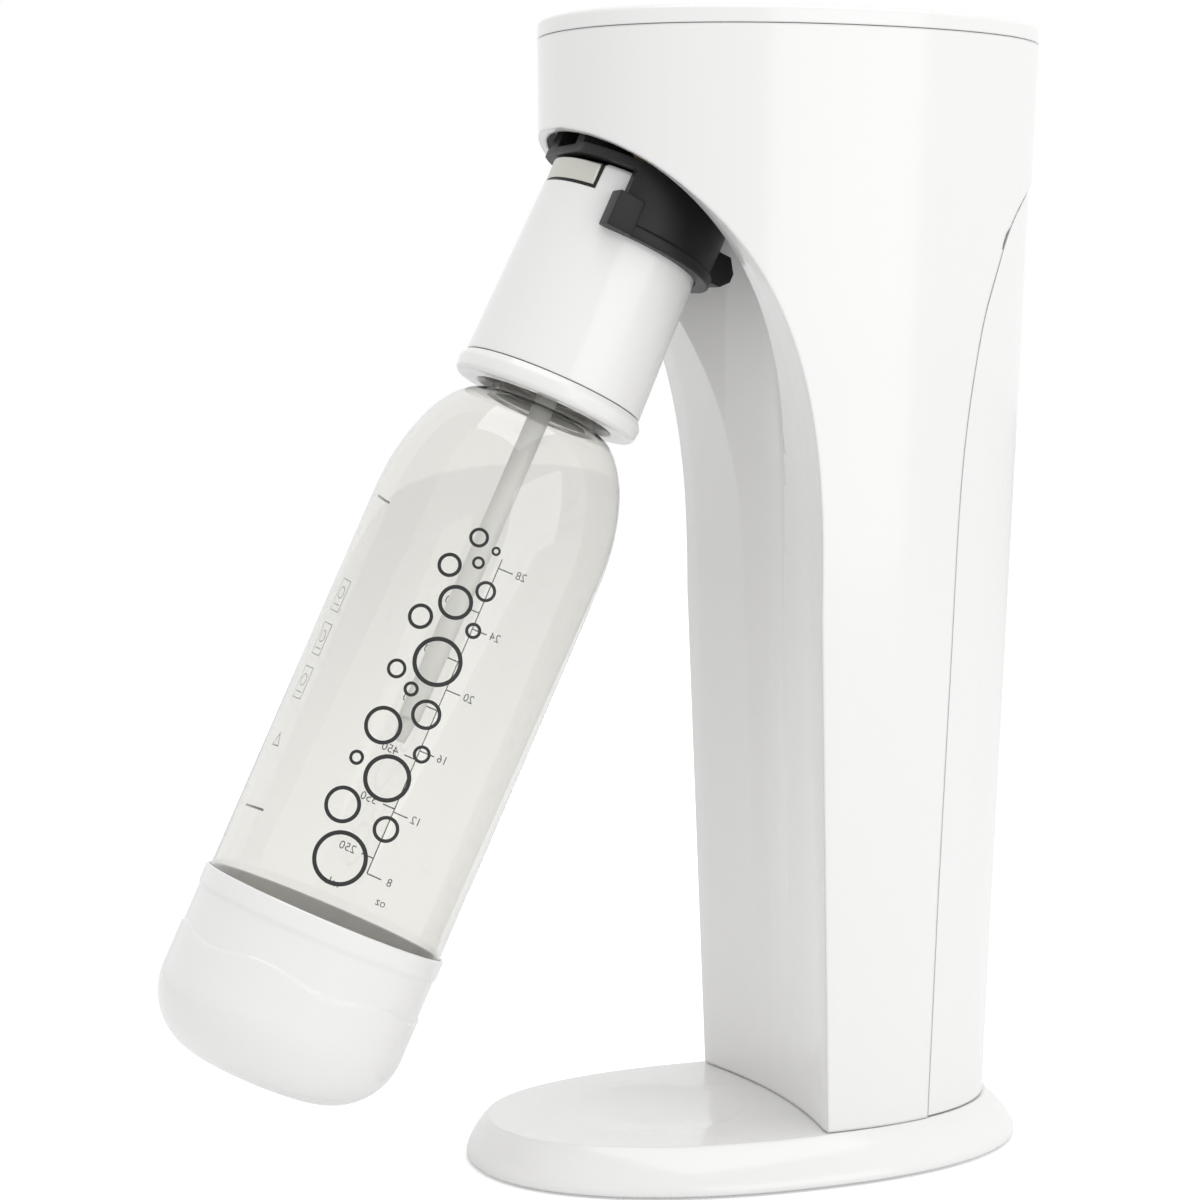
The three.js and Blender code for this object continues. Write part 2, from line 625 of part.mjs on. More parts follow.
// The latch slides in a window at the back of the band and snaps into the slot in the tower.
const latchOut = bayRadius - 1.2;
function latch() {
  const back = infuserTopRadius + slip + 1;
  const outline = new THREE.Shape([new THREE.Vector2(back, latchZ - 5.6),
    new THREE.Vector2(latchOut - 3, latchZ - 5.6),
    new THREE.Vector2(latchOut, latchZ - 2.4), new THREE.Vector2(latchOut, latchZ + 1),
    new THREE.Vector2(latchOut - 3.4, latchZ + 6), new THREE.Vector2(back, latchZ + 6)]);
  const tongue = crosswise(outline, 7);
  return cut(tongue, disc(bandInner + latchTravel, 0, seamZ, 36));
}

piece('carriage_latch', latch(), 'black', upright);

function outletNozzle() {
  const eye = rod([-armHalfGap + 1, -pivotAhead, pivotZ], [armHalfGap - 1, -pivotAhead, pivotZ], 5.5);
  const way = rod([-20, -pivotAhead, pivotZ], [20, -pivotAhead, pivotZ], pivotRadius + touch);
  const bridgeOutline = new THREE.Shape([new THREE.Vector2(4, plateTopZ + touch),
    new THREE.Vector2(4, plateTopZ + 5),
    new THREE.Vector2(-pivotAhead, pivotZ + 4), new THREE.Vector2(-pivotAhead, pivotZ - 4),
    new THREE.Vector2(-pivotAhead + 6, plateTopZ + touch)]);
  const spout = ring(1.5, nozzleRadius - 1.4, plateLowZ, plateTopZ + 4, 20);
  const duct = disc(1.5, plateLowZ - 1, plateTopZ + 3, 16);
  return cut(join(eye, crosswise(bridgeOutline, 4.5), spout), way, duct);
}

piece('outlet_nozzle', outletNozzle(), 'brass', upright);
const nozzleSeal = ring(nozzleRadius - 1.2, nozzleRadius, plateLowZ + 0.4, plateLowZ + 2.6, 24);
piece('nozzle_seal', nozzleSeal, 'rubber', upright);

// Infuser
const bodyLowZ = infuserLowZ + ringHeight;
const leverHalf = 21;
const leverLowZ = infuserTopZ - 9;
const leverInner = infuserTopRadius - infuserWall - 1;
const postReach = leverInner - 3.5;
const ventY = -7;
const ventReach = 16;
const ventZ = leverLowZ + 2.2;
const front = (halfWidth, lowZ, highZ) => block([-halfWidth, -50, lowZ], [halfWidth, -12, highZ]);

function infuserBody() {
  const shell = revolve([[infuserLowRadius, bodyLowZ + touch], [infuserTopRadius, infuserTopZ - 1],
    [infuserTopRadius - 0.8, infuserTopZ], [infuserTopRadius - infuserWall, infuserTopZ],
    [infuserTopRadius - infuserWall, infuserTopZ - 6], [infuserLowRadius - infuserWall, bodyLowZ + touch]], 36);
  return cut(shell, front(leverHalf + 1.6, leverLowZ - 1, infuserTopZ + 1));
}

piece('infuser_body', infuserBody(), 'white', upright);

const ledge = infuserTopRadius - infuserWall - slip;
function infuserCap() {
  const plate = cut(disc(ledge, infuserTopZ - 3.4, infuserTopZ - 0.6, 36), disc(6 + slip, 0, seamZ, 32));
  return cut(plate, front(leverHalf + 3, infuserTopZ - 30, infuserTopZ + 1));
}

piece('infuser_cap', infuserCap(), 'black', upright);

const frameLowZ = leverLowZ - 1 + touch;
function leverFrame() {
  const rimInner = infuserTopRadius - infuserWall - 1.2;
  const rim = ring(rimInner, infuserTopRadius - 0.5, frameLowZ, infuserTopZ - 0.8, 36);
  const outline = rim.intersect(front(leverHalf + 1.6 - touch, 0, seamZ));
  return cut(outline, front(leverHalf, leverLowZ, seamZ));
}

piece('lever_frame', leverFrame(), 'black', upright);

function releaseLever() {
  const face = ring(leverInner, infuserTopRadius, leverLowZ + touch, infuserTopZ - 0.6, 36)
    .intersect(front(leverHalf - touch, 0, seamZ));
  return join(face, rod([0, -infuserTopRadius + 3, ventZ], [0, -postReach, ventZ], 1.8));
}

piece('release_lever', releaseLever(), 'silver', upright);

piece('vent_valve', rod([0, -ventReach, ventZ], [0, ventY, ventZ], 3), 'brass', upright);
const springRoom = leverInner - leverTravel - ventReach - 3 * touch;
const returnSpring = piece('release_spring', spring(2.7, 0.45, springRoom, 3), 'steel', upright);
returnSpring.rotation.x = Math.PI / 2;
returnSpring.position.set(0, -ventReach - touch, ventZ);

const spigotHeight = 5;
const spigotRadius = infuserRadius(bodyLowZ + spigotHeight) - infuserWall - slip;
function infuserRing() {
  return revolve([[ringMouth + 0.9, infuserLowZ], [ringRadius - 1.5, infuserLowZ],
    [ringRadius - 0.4, infuserLowZ + 1.4], [ringRadius, infuserLowZ + 5.4], [infuserLowRadius, bodyLowZ], [spigotRadius, bodyLowZ],
    [spigotRadius, bodyLowZ + spigotHeight], [spigotRadius - 2, bodyLowZ + spigotHeight],
    [spigotRadius - 2, bodyLowZ - 2], [ringMouth, bodyLowZ - 2], [ringMouth, infuserLowZ + 2.2]], 36);
}

piece('infuser_ring', infuserRing(), 'white', upright);

const collarInner = neckRadius + slip;
const collarTopZ = neckTopZ + 7;
function threadCollar() {
  const stemWay = tubeRadius + touch;
  const outer = spigotRadius - 2 - touch;
  return revolve([[collarInner, bodyLowZ - 2 + touch], [outer, bodyLowZ - 2 + touch], [outer, bodyLowZ + 5],
    [collarInner + 3, bodyLowZ + 8], [collarInner + 3, collarTopZ], [stemWay, collarTopZ],
    [stemWay, collarTopZ - 4], [collarInner, collarTopZ - 4]]);
}

piece('thread_collar', threadCollar(), 'grey', upright);

const sealTopZ = collarTopZ - 4 - touch;
piece('neck_seal', ring(neckRadius - neckWall, neckRadius, neckTopZ + touch, sealTopZ), 'rubber', upright);

const checkLowZ = collarTopZ + touch;
const checkTopZ = checkLowZ + 12;
piece('check_valve', revolve([[1.2, checkLowZ], [8, checkLowZ], [8, checkLowZ + 8], [5.6, checkTopZ],
  [1.2, checkTopZ]]), 'brass', upright);
piece('inlet_nipple', revolve([[1.5, checkTopZ + touch], [5, checkTopZ + touch], [5, infuserTopZ - 8],
  [6, infuserTopZ - 6], [6, infuserTopZ], [1.5, infuserTopZ]]), 'brass', upright);

function carbonationTube() {
  return revolve([[tubeBore - 1, tubeLowZ], [tubeBore - 0.4, tubeLowZ], [tubeRadius - 0.9, tubeLowZ + 8],
    [tubeRadius, tubeLowZ + 9], [tubeRadius, checkLowZ - touch], [tubeBore, checkLowZ - touch],
    [tubeBore, tubeLowZ + 9]], 24);
}

piece('carbonation_tube', carbonationTube(), 'tube', upright);

// Bottle
function bottleShell() {
  const foot = quarter(bottleRadius, bottleFootHeight, bottleLowZ, 5);
  const innerRadius = bottleRadius - bottleWall;
  const footInner = quarter(innerRadius, bottleFootHeight - bottleWall, bottleLowZ + bottleWall, 5);
  const shoulder = (grow) => Array.from({ length: 6 }, (_, i) => {
    const angle = (Math.PI / 2) * (i / 5);
    const reach = bottleRadius - neckRadius;
    const rise = neckLowZ - shoulderLowZ;
    return [neckRadius + reach * Math.cos(angle) - grow, shoulderLowZ + (rise - grow) * Math.sin(angle)];
  });
  const flangeZ = neckLowZ + 5;
  const neck = [[neckRadius, flangeZ], [neckFlange, flangeZ], [neckFlange, flangeZ + 2],
    [neckRadius, flangeZ + 2], [neckRadius, neckTopZ], [neckRadius - neckWall, neckTopZ], [neckRadius - neckWall, neckLowZ]];
  const inside = shoulder(bottleWall).reverse().slice(1);
  return revolve([...foot, ...shoulder(0), ...neck, ...inside, ...footInner.reverse()], 36);
}

piece('bottle', bottleShell(), 'clear', upright);

function baseCup() {
  const outer = bottleRadius + touch + cupWall;
  const corner = quarter(cupCorner, cupCorner, cupLowZ, 5).map(([r, z]) => [outer - cupCorner + r, z]);
  const inner = outer - cupWall;
  const innerCorner = quarter(cupCorner - cupWall, cupCorner - cupWall, cupLowZ + cupWall, 5)
    .map(([r, z]) => [outer - cupCorner + r, z]);
  const rim = cupLowZ + cupHeight;
  return revolve([[0, cupLowZ + 0.6], ...corner, [outer, rim - 1], [outer - 0.5, rim], [inner, rim],
    ...innerCorner.reverse(), [0, cupLowZ + cupWall]], 36);
}

piece('base_cup', baseCup(), 'white', upright);

export default group;
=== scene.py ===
import json
import math

import bmesh
import bpy
from mathutils import Matrix, Vector


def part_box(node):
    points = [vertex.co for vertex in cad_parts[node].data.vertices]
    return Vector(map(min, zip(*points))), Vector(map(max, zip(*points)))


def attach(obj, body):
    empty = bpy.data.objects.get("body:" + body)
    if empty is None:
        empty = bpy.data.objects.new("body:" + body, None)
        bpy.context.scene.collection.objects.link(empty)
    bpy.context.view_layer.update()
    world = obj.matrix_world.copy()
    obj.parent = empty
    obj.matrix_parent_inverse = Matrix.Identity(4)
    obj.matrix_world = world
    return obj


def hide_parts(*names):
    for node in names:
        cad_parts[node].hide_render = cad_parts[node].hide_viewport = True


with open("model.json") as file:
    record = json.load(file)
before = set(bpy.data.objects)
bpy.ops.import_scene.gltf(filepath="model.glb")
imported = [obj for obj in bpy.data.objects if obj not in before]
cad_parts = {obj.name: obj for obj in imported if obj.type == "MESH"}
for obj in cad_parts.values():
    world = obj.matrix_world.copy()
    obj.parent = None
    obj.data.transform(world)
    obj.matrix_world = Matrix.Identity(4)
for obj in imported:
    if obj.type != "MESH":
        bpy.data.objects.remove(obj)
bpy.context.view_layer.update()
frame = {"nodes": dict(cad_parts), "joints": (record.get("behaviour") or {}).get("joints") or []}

mm = 0.001
joints = {joint["name"]: joint for joint in frame["joints"]}
pivot = Vector(joints["carriage_tilt"]["pos_m"])
tilt = math.radians(joints["carriage_tilt"]["range_deg"][1])
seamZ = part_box("main_housing")[1].z / mm + 0.3
cylinderY = joints["cylinder_screw"]["pos_m"][1] / mm
bottleY = -35  # where the bottle's axis stands when the carriage is upright
hung = (Matrix.Translation(pivot) @ Matrix.Rotation(-tilt, 4, "X")
        @ Matrix.Translation((0, bottleY * mm - pivot.y, -pivot.z)))  # upright to hanging out
print("frame loaded:", len(frame["nodes"]), "nodes")

# Camera, floor and lamps
view = {"place": (0.96758, -0.43275, 0.29744), "aim": (-0.92888, 0.35976, -0.08801), "lens": 86.24}
studio = {"floor": (0.93, 0.93, 0.93), "floorGlow": 0.34, "throughGlow": 0.12, "sky": 0.82,
          "key": 6.2, "top": 14}


def setScene():
    camera = bpy.data.objects.new("camera", bpy.data.cameras.new("camera"))
    bpy.context.scene.collection.objects.link(camera)
    camera.location = view["place"]
    camera.rotation_euler = Vector(view["aim"]).to_track_quat("-Z", "Y").to_euler()
    camera.data.lens, camera.data.sensor_width = view["lens"], 36
    camera.data.clip_start = 0.02
    bpy.context.scene.camera = camera
    bpy.context.scene.view_settings.view_transform = "Standard"

    world = bpy.data.worlds.new("studio")
    bpy.context.scene.world = world
    world.use_nodes = True
    nodes, links = world.node_tree.nodes, world.node_tree.links
    back = nodes["Background"]
    path = nodes.new("ShaderNodeLightPath")
    seen = nodes.new("ShaderNodeMath")
    seen.operation = "MAXIMUM"
    links.new(path.outputs["Is Camera Ray"], seen.inputs[0])
    links.new(path.outputs["Is Transmission Ray"], seen.inputs[1])
    either = nodes.new("ShaderNodeMath")
    either.operation = "MAXIMUM"
    links.new(seen.outputs[0], either.inputs[0])
    links.new(path.outputs["Is Glossy Ray"], either.inputs[1])
    level = nodes.new("ShaderNodeMapRange")
    level.inputs["To Min"].default_value = studio["sky"]
    level.inputs["To Max"].default_value = 1
    links.new(either.outputs[0], level.inputs["Value"])
    links.new(level.outputs[0], back.inputs["Strength"])
    back.inputs["Color"].default_value = (1, 1, 1, 1)

    bpy.ops.mesh.primitive_plane_add(size=12, location=(0, 0, -0.0002))
    floor = bpy.context.object
    floor.name = "floor"
    paint = bpy.data.materials.new("floorPaint")
    paint.use_nodes = True
    nodes, links = paint.node_tree.nodes, paint.node_tree.links
    body = nodes["Principled BSDF"]
    body.inputs["Base Color"].default_value = (*studio["floor"], 1)
    body.inputs["Roughness"].default_value = 0.9
    body.inputs["Specular IOR Level"].default_value = 0
    body.inputs["Emission Color"].default_value = (1, 1, 1, 1)
    path = nodes.new("ShaderNodeLightPath")
    direct = nodes.new("ShaderNodeMath")
    direct.operation = "MULTIPLY"
    direct.inputs[1].default_value = studio["floorGlow"]
    links.new(path.outputs["Is Camera Ray"], direct.inputs[0])
    glow = nodes.new("ShaderNodeMath")
    glow.operation = "MULTIPLY_ADD"
    glow.inputs[1].default_value = studio["throughGlow"]
    links.new(path.outputs["Is Transmission Ray"], glow.inputs[0])
    links.new(direct.outputs[0], glow.inputs[2])
    links.new(glow.outputs[0], body.inputs["Emission Strength"])
    floor.data.materials.append(paint)

    lamps = [("key", (1.6, 0.55, 0.4), 1.4), ("top", (0.3, 0.2, 2.2), 1.8)]
    for name, place, size in lamps:
        lamp = bpy.data.objects.new(name + "Lamp", bpy.data.lights.new(name + "Lamp", "AREA"))
        bpy.context.scene.collection.objects.link(lamp)
        lamp.data.size = size
        lamp.data.energy = studio[name]
        lamp.location = place
        lamp.rotation_euler = (Vector((0, 0, 0.2)) - Vector(place)).to_track_quat("-Z", "Y").to_euler()


setScene()
print("camera, floor and lamps ready")

# Ways of shaping

def deselectAll():
    bpy.ops.object.select_all(action="DESELECT")


def activate(piece):
    deselectAll()
    piece.select_set(True)
    bpy.context.view_layer.objects.active = piece


def flatOutline(name, places):
    deselectAll()
    bpy.ops.mesh.primitive_circle_add(vertices=len(places), radius=1, fill_type="NGON")
    piece = bpy.context.object
    piece.name = name
    for corner, place in zip(piece.data.vertices, places):
        corner.co = Vector(place) * mm
    return piece


def tidyMesh(piece):
    activate(piece)
    bpy.ops.object.mode_set(mode="EDIT")
    bpy.ops.mesh.select_all(action="SELECT")
    bpy.ops.mesh.remove_doubles(threshold=0.002 * mm)
    bpy.ops.mesh.dissolve_degenerate(threshold=0.001 * mm)
    bpy.ops.mesh.delete_loose(use_verts=True, use_edges=True, use_faces=False)
    bpy.ops.mesh.normals_make_consistent(inside=False)
    bpy.ops.object.mode_set(mode="OBJECT")
    form = bmesh.new()
    form.from_mesh(piece.data)
    if form.calc_volume(signed=True) < 0:  # a hollowed outline can come out turned inwards
        piece.data.flip_normals()
    form.free()


def fuller(value, power):
    return math.copysign(abs(value) ** (2 / power), value)


def stackOvals(name, sections, power, steps=160):
    # ovals of (z, half width, half depth, centre y), each extruded from the one below
    z, width, depth, centre = sections[0]
    turns = [2 * math.pi * i / steps for i in range(steps)]
    piece = flatOutline(name, [(width * fuller(math.cos(a), power),
                                centre + depth * fuller(math.sin(a), power), z) for a in turns])
    bpy.ops.object.mode_set(mode="EDIT")
    bpy.ops.mesh.select_all(action="SELECT")
    for nextZ, nextWidth, nextDepth, nextCentre in sections[1:]:
        step = Vector((0, nextCentre - centre, nextZ - z)) * mm
        bpy.ops.mesh.extrude_region_move(TRANSFORM_OT_translate={"value": step})
        bpy.ops.transform.resize(value=(nextWidth / width, nextDepth / depth, 1),
                                 center_override=(0, nextCentre * mm, nextZ * mm))
        z, width, depth, centre = nextZ, nextWidth, nextDepth, nextCentre
    bpy.ops.object.mode_set(mode="OBJECT")
    tidyMesh(piece)
    return piece


def spinProfile(name, profile, steps=128, centreY=0):
    # a closed outline of (radius, z), turned about a standing axis
    deselectAll()
    bpy.ops.mesh.primitive_circle_add(vertices=len(profile), radius=1, fill_type="NOTHING")
    piece = bpy.context.object
    piece.name = name
    for corner, (radius, z) in zip(piece.data.vertices, profile):
        corner.co = Vector((max(radius, 0), 0, z)) * mm
    bpy.ops.object.mode_set(mode="EDIT")
    bpy.ops.mesh.select_all(action="SELECT")
    bpy.ops.mesh.spin(steps=steps, angle=2 * math.pi, center=(0, 0, 0), axis=(0, 0, 1))
    bpy.ops.mesh.select_all(action="SELECT")
    bpy.ops.transform.translate(value=(0, centreY * mm, 0))
    bpy.ops.object.mode_set(mode="OBJECT")
    tidyMesh(piece)
    return piece


def sideForm(name, outline, halfWidth, steps=1, dip=None, centreX=0):
    # an outline of (y, z) stretched along X; dip(x) bows it back
    piece = flatOutline(name, [(centreX - halfWidth, y, z) for y, z in outline])
    bpy.ops.object.mode_set(mode="EDIT")
    bpy.ops.mesh.select_all(action="SELECT")
    for _ in range(steps):
        bpy.ops.mesh.extrude_region_move(
            TRANSFORM_OT_translate={"value": (2 * halfWidth * mm / steps, 0, 0)})
    bpy.ops.object.mode_set(mode="OBJECT")
    if dip:
        for corner in piece.data.vertices:
            corner.co.y += dip(corner.co.x / mm) * mm
    tidyMesh(piece)
    return piece


def box(name, low, high):
    deselectAll()
    bpy.ops.mesh.primitive_cube_add(size=1)
    piece = bpy.context.object
    piece.name = name
    for corner in piece.data.vertices:
        corner.co = Vector([(low[k] if corner.co[k] < 0 else high[k]) * mm for k in range(3)])
    return piece


def rod(name, radius, lowX, highX, y, z, steps=48):
    deselectAll()
    bpy.ops.mesh.primitive_cylinder_add(vertices=steps, radius=radius * mm, depth=(highX - lowX) * mm,
                                        location=((lowX + highX) / 2 * mm, y * mm, z * mm),
                                        rotation=(0, math.pi / 2, 0))
    piece = bpy.context.object
    piece.name = name
    bpy.ops.object.transform_apply(location=True, rotation=True, scale=True)
    return piece


def post(name, radius, lowZ, highZ, x=0, y=0, steps=48):
    deselectAll()
    bpy.ops.mesh.primitive_cylinder_add(vertices=steps, radius=radius * mm, depth=(highZ - lowZ) * mm,
                                        location=(x * mm, y * mm, (lowZ + highZ) / 2 * mm))
    piece = bpy.context.object
    piece.name = name
    bpy.ops.object.transform_apply(location=True, rotation=True, scale=True)
    return piece


def combine(piece, how, *tools):
    for tool in tools:
        activate(piece)
        change = piece.modifiers.new(how.lower(), "BOOLEAN")
        change.operation, change.object, change.solver = how, tool, "EXACT"
        bpy.ops.object.modifier_apply(modifier=change.name)
        bpy.data.objects.remove(tool)
    return piece


def cutAway(piece, *tools):
    return combine(piece, "DIFFERENCE", *tools)


def weld(piece, *tools):
    return combine(piece, "UNION", *tools)


def keepWithin(piece, *tools):
    return combine(piece, "INTERSECT", *tools)


def softenEdges(piece, width, segments=3, angle=35):
    activate(piece)
    bevel = piece.modifiers.new("bevel", "BEVEL")
    bevel.width, bevel.segments, bevel.limit_method = width * mm, segments, "ANGLE"
    bevel.angle_limit = math.radians(angle)
    bpy.ops.object.modifier_apply(modifier=bevel.name)
    return piece


def smoothRow(points, perSpan):
    # a row of points with a smooth curve through them
    row = []
    for i in range(len(points) - 1):
        a, b = points[max(i - 1, 0)], points[i]
        c, d = points[i + 1], points[min(i + 2, len(points) - 1)]
        for k in range(perSpan):
            t = k / perSpan
            row.append(tuple(0.5 * (2 * q + (r - p) * t + (2 * p - 5 * q + 4 * r - s) * t * t
                                    + (3 * q - p - 3 * r + s) * t ** 3) for p, q, r, s in zip(a, b, c, d)))
    return row + [tuple(points[-1])]


def roundOff(points, radius, count=5):
    # rounds each corner of a closed outline; radius may be one number or one for each corner
    result = []
    for i, place in enumerate(points):
        reach = radius[i] if isinstance(radius, (list, tuple)) else radius
        before = Vector(points[i - 1]) - Vector(place)
        after = Vector(points[(i + 1) % len(points)]) - Vector(place)
        reach = min(reach, before.length * 0.45, after.length * 0.45)
        if reach < 0.02 or place[0] < 0.01:
            result.append(tuple(place))
            continue
        start = Vector(place) + before.normalized() * reach
        end = Vector(place) + after.normalized() * reach
        for k in range(count + 1):
            t = k / count
            result.append(tuple(start * (1 - t) ** 2 + Vector(place) * 2 * t * (1 - t) + end * t * t))
    return result


def finishPiece(piece, body, material, replaced=(), hanging=False, angle=32):
    activate(piece)
    if hanging:
        piece.matrix_world = hung @ piece.matrix_world
        bpy.ops.object.transform_apply(location=True, rotation=True, scale=True)
    bpy.ops.object.shade_smooth_by_angle(angle=math.radians(angle))
    piece.data.materials.clear()
    piece.data.materials.append(material)
    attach(piece, body)
    if replaced:
        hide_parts(*replaced)
    deselectAll()
    return piece


# Node groups and finishes

def newGroup(name, inputs, outputs):
    group = bpy.data.node_groups.new(name, "ShaderNodeTree")
    for label, kind, value in inputs:
        socket = group.interface.new_socket(label, in_out="INPUT", socket_type=kind)
        socket.default_value = value
    for label, kind in outputs:
        group.interface.new_socket(label, in_out="OUTPUT", socket_type=kind)
    return group, group.nodes.new("NodeGroupInput"), group.nodes.new("NodeGroupOutput")


def mathNode(tree, operation, first, second):
    node = tree.nodes.new("ShaderNodeMath")
    node.operation = operation
    for slot, value in ((0, first), (1, second)):
        if isinstance(value, (int, float)):
            node.inputs[slot].default_value = value
        else:
            tree.links.new(value, node.inputs[slot])
    return node.outputs[0]


def mixColours(tree, share, first, second):
    node = tree.nodes.new("ShaderNodeMix")
    node.data_type = "RGBA"
    for socket, value in ((node.inputs[0], share), (node.inputs[6], first), (node.inputs[7], second)):
        if isinstance(value, (int, float, tuple)):
            socket.default_value = value
        else:
            tree.links.new(value, socket)
    return node.outputs[2]


def objectNoise(tree, scale, detail, roughness=0.5, stretch=(1, 1, 1)):
    place = tree.nodes.new("ShaderNodeTexCoord")
    turn = tree.nodes.new("ShaderNodeMapping")
    turn.inputs["Scale"].default_value = stretch
    noise = tree.nodes.new("ShaderNodeTexNoise")
    tree.links.new(place.outputs["Object"], turn.inputs["Vector"])
    tree.links.new(turn.outputs[0], noise.inputs["Vector"])
    if isinstance(scale, (int, float)):
        noise.inputs["Scale"].default_value = scale
    else:
        tree.links.new(scale, noise.inputs["Scale"])
    noise.inputs["Detail"].default_value = detail
    noise.inputs["Roughness"].default_value = roughness
    return noise.outputs[0]


# moulded surface: slow changes of tone, fine grain and slow waviness of the polish
mouldSurface, fed, out = newGroup("mouldSurface", [
    ("Colour", "NodeSocketColor", (0.8, 0.8, 0.8, 1)), ("Shade", "NodeSocketColor", (0.7, 0.7, 0.7, 1)),
    ("Tone", "NodeSocketFloat", 0.3), ("Roughness", "NodeSocketFloat", 0.2),
    ("Spread", "NodeSocketFloat", 0.08), ("Grain Size", "NodeSocketFloat", 900),
], [("Colour", "NodeSocketColor"), ("Roughness", "NodeSocketFloat"), ("Height", "NodeSocketFloat")])
slow = objectNoise(mouldSurface, 14, 3)
patch = objectNoise(mouldSurface, 45, 5, 0.6)
grain = objectNoise(mouldSurface, fed.outputs["Grain Size"], 2)
share = mathNode(mouldSurface, "MULTIPLY", slow, fed.outputs["Tone"])
mouldSurface.links.new(mixColours(mouldSurface, share, fed.outputs["Colour"], fed.outputs["Shade"]),
                       out.inputs["Colour"])
spreadPart = mathNode(mouldSurface, "MULTIPLY", mathNode(mouldSurface, "SUBTRACT", patch, 0.5),
                      fed.outputs["Spread"])
mouldSurface.links.new(mathNode(mouldSurface, "ADD", spreadPart, fed.outputs["Roughness"]),
                       out.inputs["Roughness"])
mouldSurface.links.new(mathNode(mouldSurface, "ADD", mathNode(mouldSurface, "MULTIPLY", slow, 3), grain),
                       out.inputs["Height"])

# handling marks and a painted highlight on edges, from how sharply the surface bends: sharp edges are made lighter
edgeWearAndHighlight, fed, out = newGroup("edgeWearAndHighlight", [
    ("Colour", "NodeSocketColor", (0.8, 0.8, 0.8, 1)), ("Worn And Highlight", "NodeSocketColor", (0.9, 0.9, 0.9, 1)),
    ("Amount", "NodeSocketFloat", 0.5), ("Roughness", "NodeSocketFloat", 0.3),
], [("Colour", "NodeSocketColor"), ("Roughness", "NodeSocketFloat")])
bend = edgeWearAndHighlight.nodes.new("ShaderNodeNewGeometry")
sharpness = edgeWearAndHighlight.nodes.new("ShaderNodeMapRange")
sharpness.inputs["From Min"].default_value, sharpness.inputs["From Max"].default_value = 0.52, 0.62
edgeWearAndHighlight.links.new(bend.outputs["Pointiness"], sharpness.inputs["Value"])
broken = mathNode(edgeWearAndHighlight, "MULTIPLY", objectNoise(edgeWearAndHighlight, 120, 4, 0.65), fed.outputs["Amount"])
mask = mathNode(edgeWearAndHighlight, "MULTIPLY", sharpness.outputs[0], broken)
edgeWearAndHighlight.links.new(mixColours(edgeWearAndHighlight, mask, fed.outputs["Colour"], fed.outputs["Worn And Highlight"]), out.inputs["Colour"])
edgeWearAndHighlight.links.new(mathNode(edgeWearAndHighlight, "ADD", fed.outputs["Roughness"], mathNode(edgeWearAndHighlight, "MULTIPLY", mask, 0.25)),
                   out.inputs["Roughness"])

# dust that settles on faces that look up
settledDust, fed, out = newGroup("settledDust", [
    ("Colour", "NodeSocketColor", (0.8, 0.8, 0.8, 1)), ("Dust", "NodeSocketColor", (0.6, 0.58, 0.55, 1)),
    ("Amount", "NodeSocketFloat", 0.06), ("Roughness", "NodeSocketFloat", 0.3),
], [("Colour", "NodeSocketColor"), ("Roughness", "NodeSocketFloat")])
facing = settledDust.nodes.new("ShaderNodeNewGeometry")
split = settledDust.nodes.new("ShaderNodeSeparateXYZ")
settledDust.links.new(facing.outputs["Normal"], split.inputs[0])
upward = mathNode(settledDust, "MAXIMUM", split.outputs["Z"], 0)
flecks = mathNode(settledDust, "MULTIPLY", objectNoise(settledDust, 260, 6, 0.7), fed.outputs["Amount"])
mask = mathNode(settledDust, "MULTIPLY", upward, flecks)
settledDust.links.new(mixColours(settledDust, mask, fed.outputs["Colour"], fed.outputs["Dust"]),
                      out.inputs["Colour"])
settledDust.links.new(mathNode(settledDust, "ADD", fed.outputs["Roughness"], mask), out.inputs["Roughness"])


def placeGroup(tree, group, values, linked=()):
    node = tree.nodes.new("ShaderNodeGroup")
    node.node_tree = group
    for label, value in values.items():
        node.inputs[label].default_value = value
    for label, socket in linked:
        tree.links.new(socket, node.inputs[label])
    return node


def mouldedMaterial(name, colour, shade, roughness, tone=0.3, spread=0.08, grainSize=900, bump=0.02,
                    wornHighlight=None, wornHighlightAmount=0.4, dust=0.05, coat=0.0, edge=0.6, metal=0.0, shine=0.5):
    material = bpy.data.materials.new(name)
    material.use_nodes = True
    tree = material.node_tree
    shader = tree.nodes["Principled BSDF"]
    surface = placeGroup(tree, mouldSurface, {"Colour": (*colour, 1), "Shade": (*shade, 1), "Tone": tone,
                                              "Roughness": roughness, "Spread": spread, "Grain Size": grainSize})
    # sharp edges get a lighter colour: a painted edge highlight together with handling wear
    rubbedAndHighlit = placeGroup(tree, edgeWearAndHighlight, {"Worn And Highlight": (*(wornHighlight or colour), 1), "Amount": wornHighlightAmount},
                        [("Colour", surface.outputs["Colour"]), ("Roughness", surface.outputs["Roughness"])])
    dusted = placeGroup(tree, settledDust, {"Amount": dust},
                        [("Colour", rubbedAndHighlit.outputs["Colour"]), ("Roughness", rubbedAndHighlit.outputs["Roughness"])])
    tree.links.new(dusted.outputs["Colour"], shader.inputs["Base Color"])
    tree.links.new(dusted.outputs["Roughness"], shader.inputs["Roughness"])
    raised = tree.nodes.new("ShaderNodeBump")
    raised.inputs["Strength"].default_value = bump
    raised.inputs["Distance"].default_value = 0.4 * mm
    tree.links.new(surface.outputs["Height"], raised.inputs["Height"])
    if edge:
        rounding = tree.nodes.new("ShaderNodeBevel")
        rounding.samples = 6
        rounding.inputs["Radius"].default_value = edge * mm
        tree.links.new(rounding.outputs[0], raised.inputs["Normal"])
    tree.links.new(raised.outputs[0], shader.inputs["Normal"])
    shader.inputs["Metallic"].default_value = metal
    shader.inputs["Specular IOR Level"].default_value = shine
    if coat:
        shader.inputs["Coat Weight"].default_value = coat
        shader.inputs["Coat Roughness"].default_value = 0.05
    return material


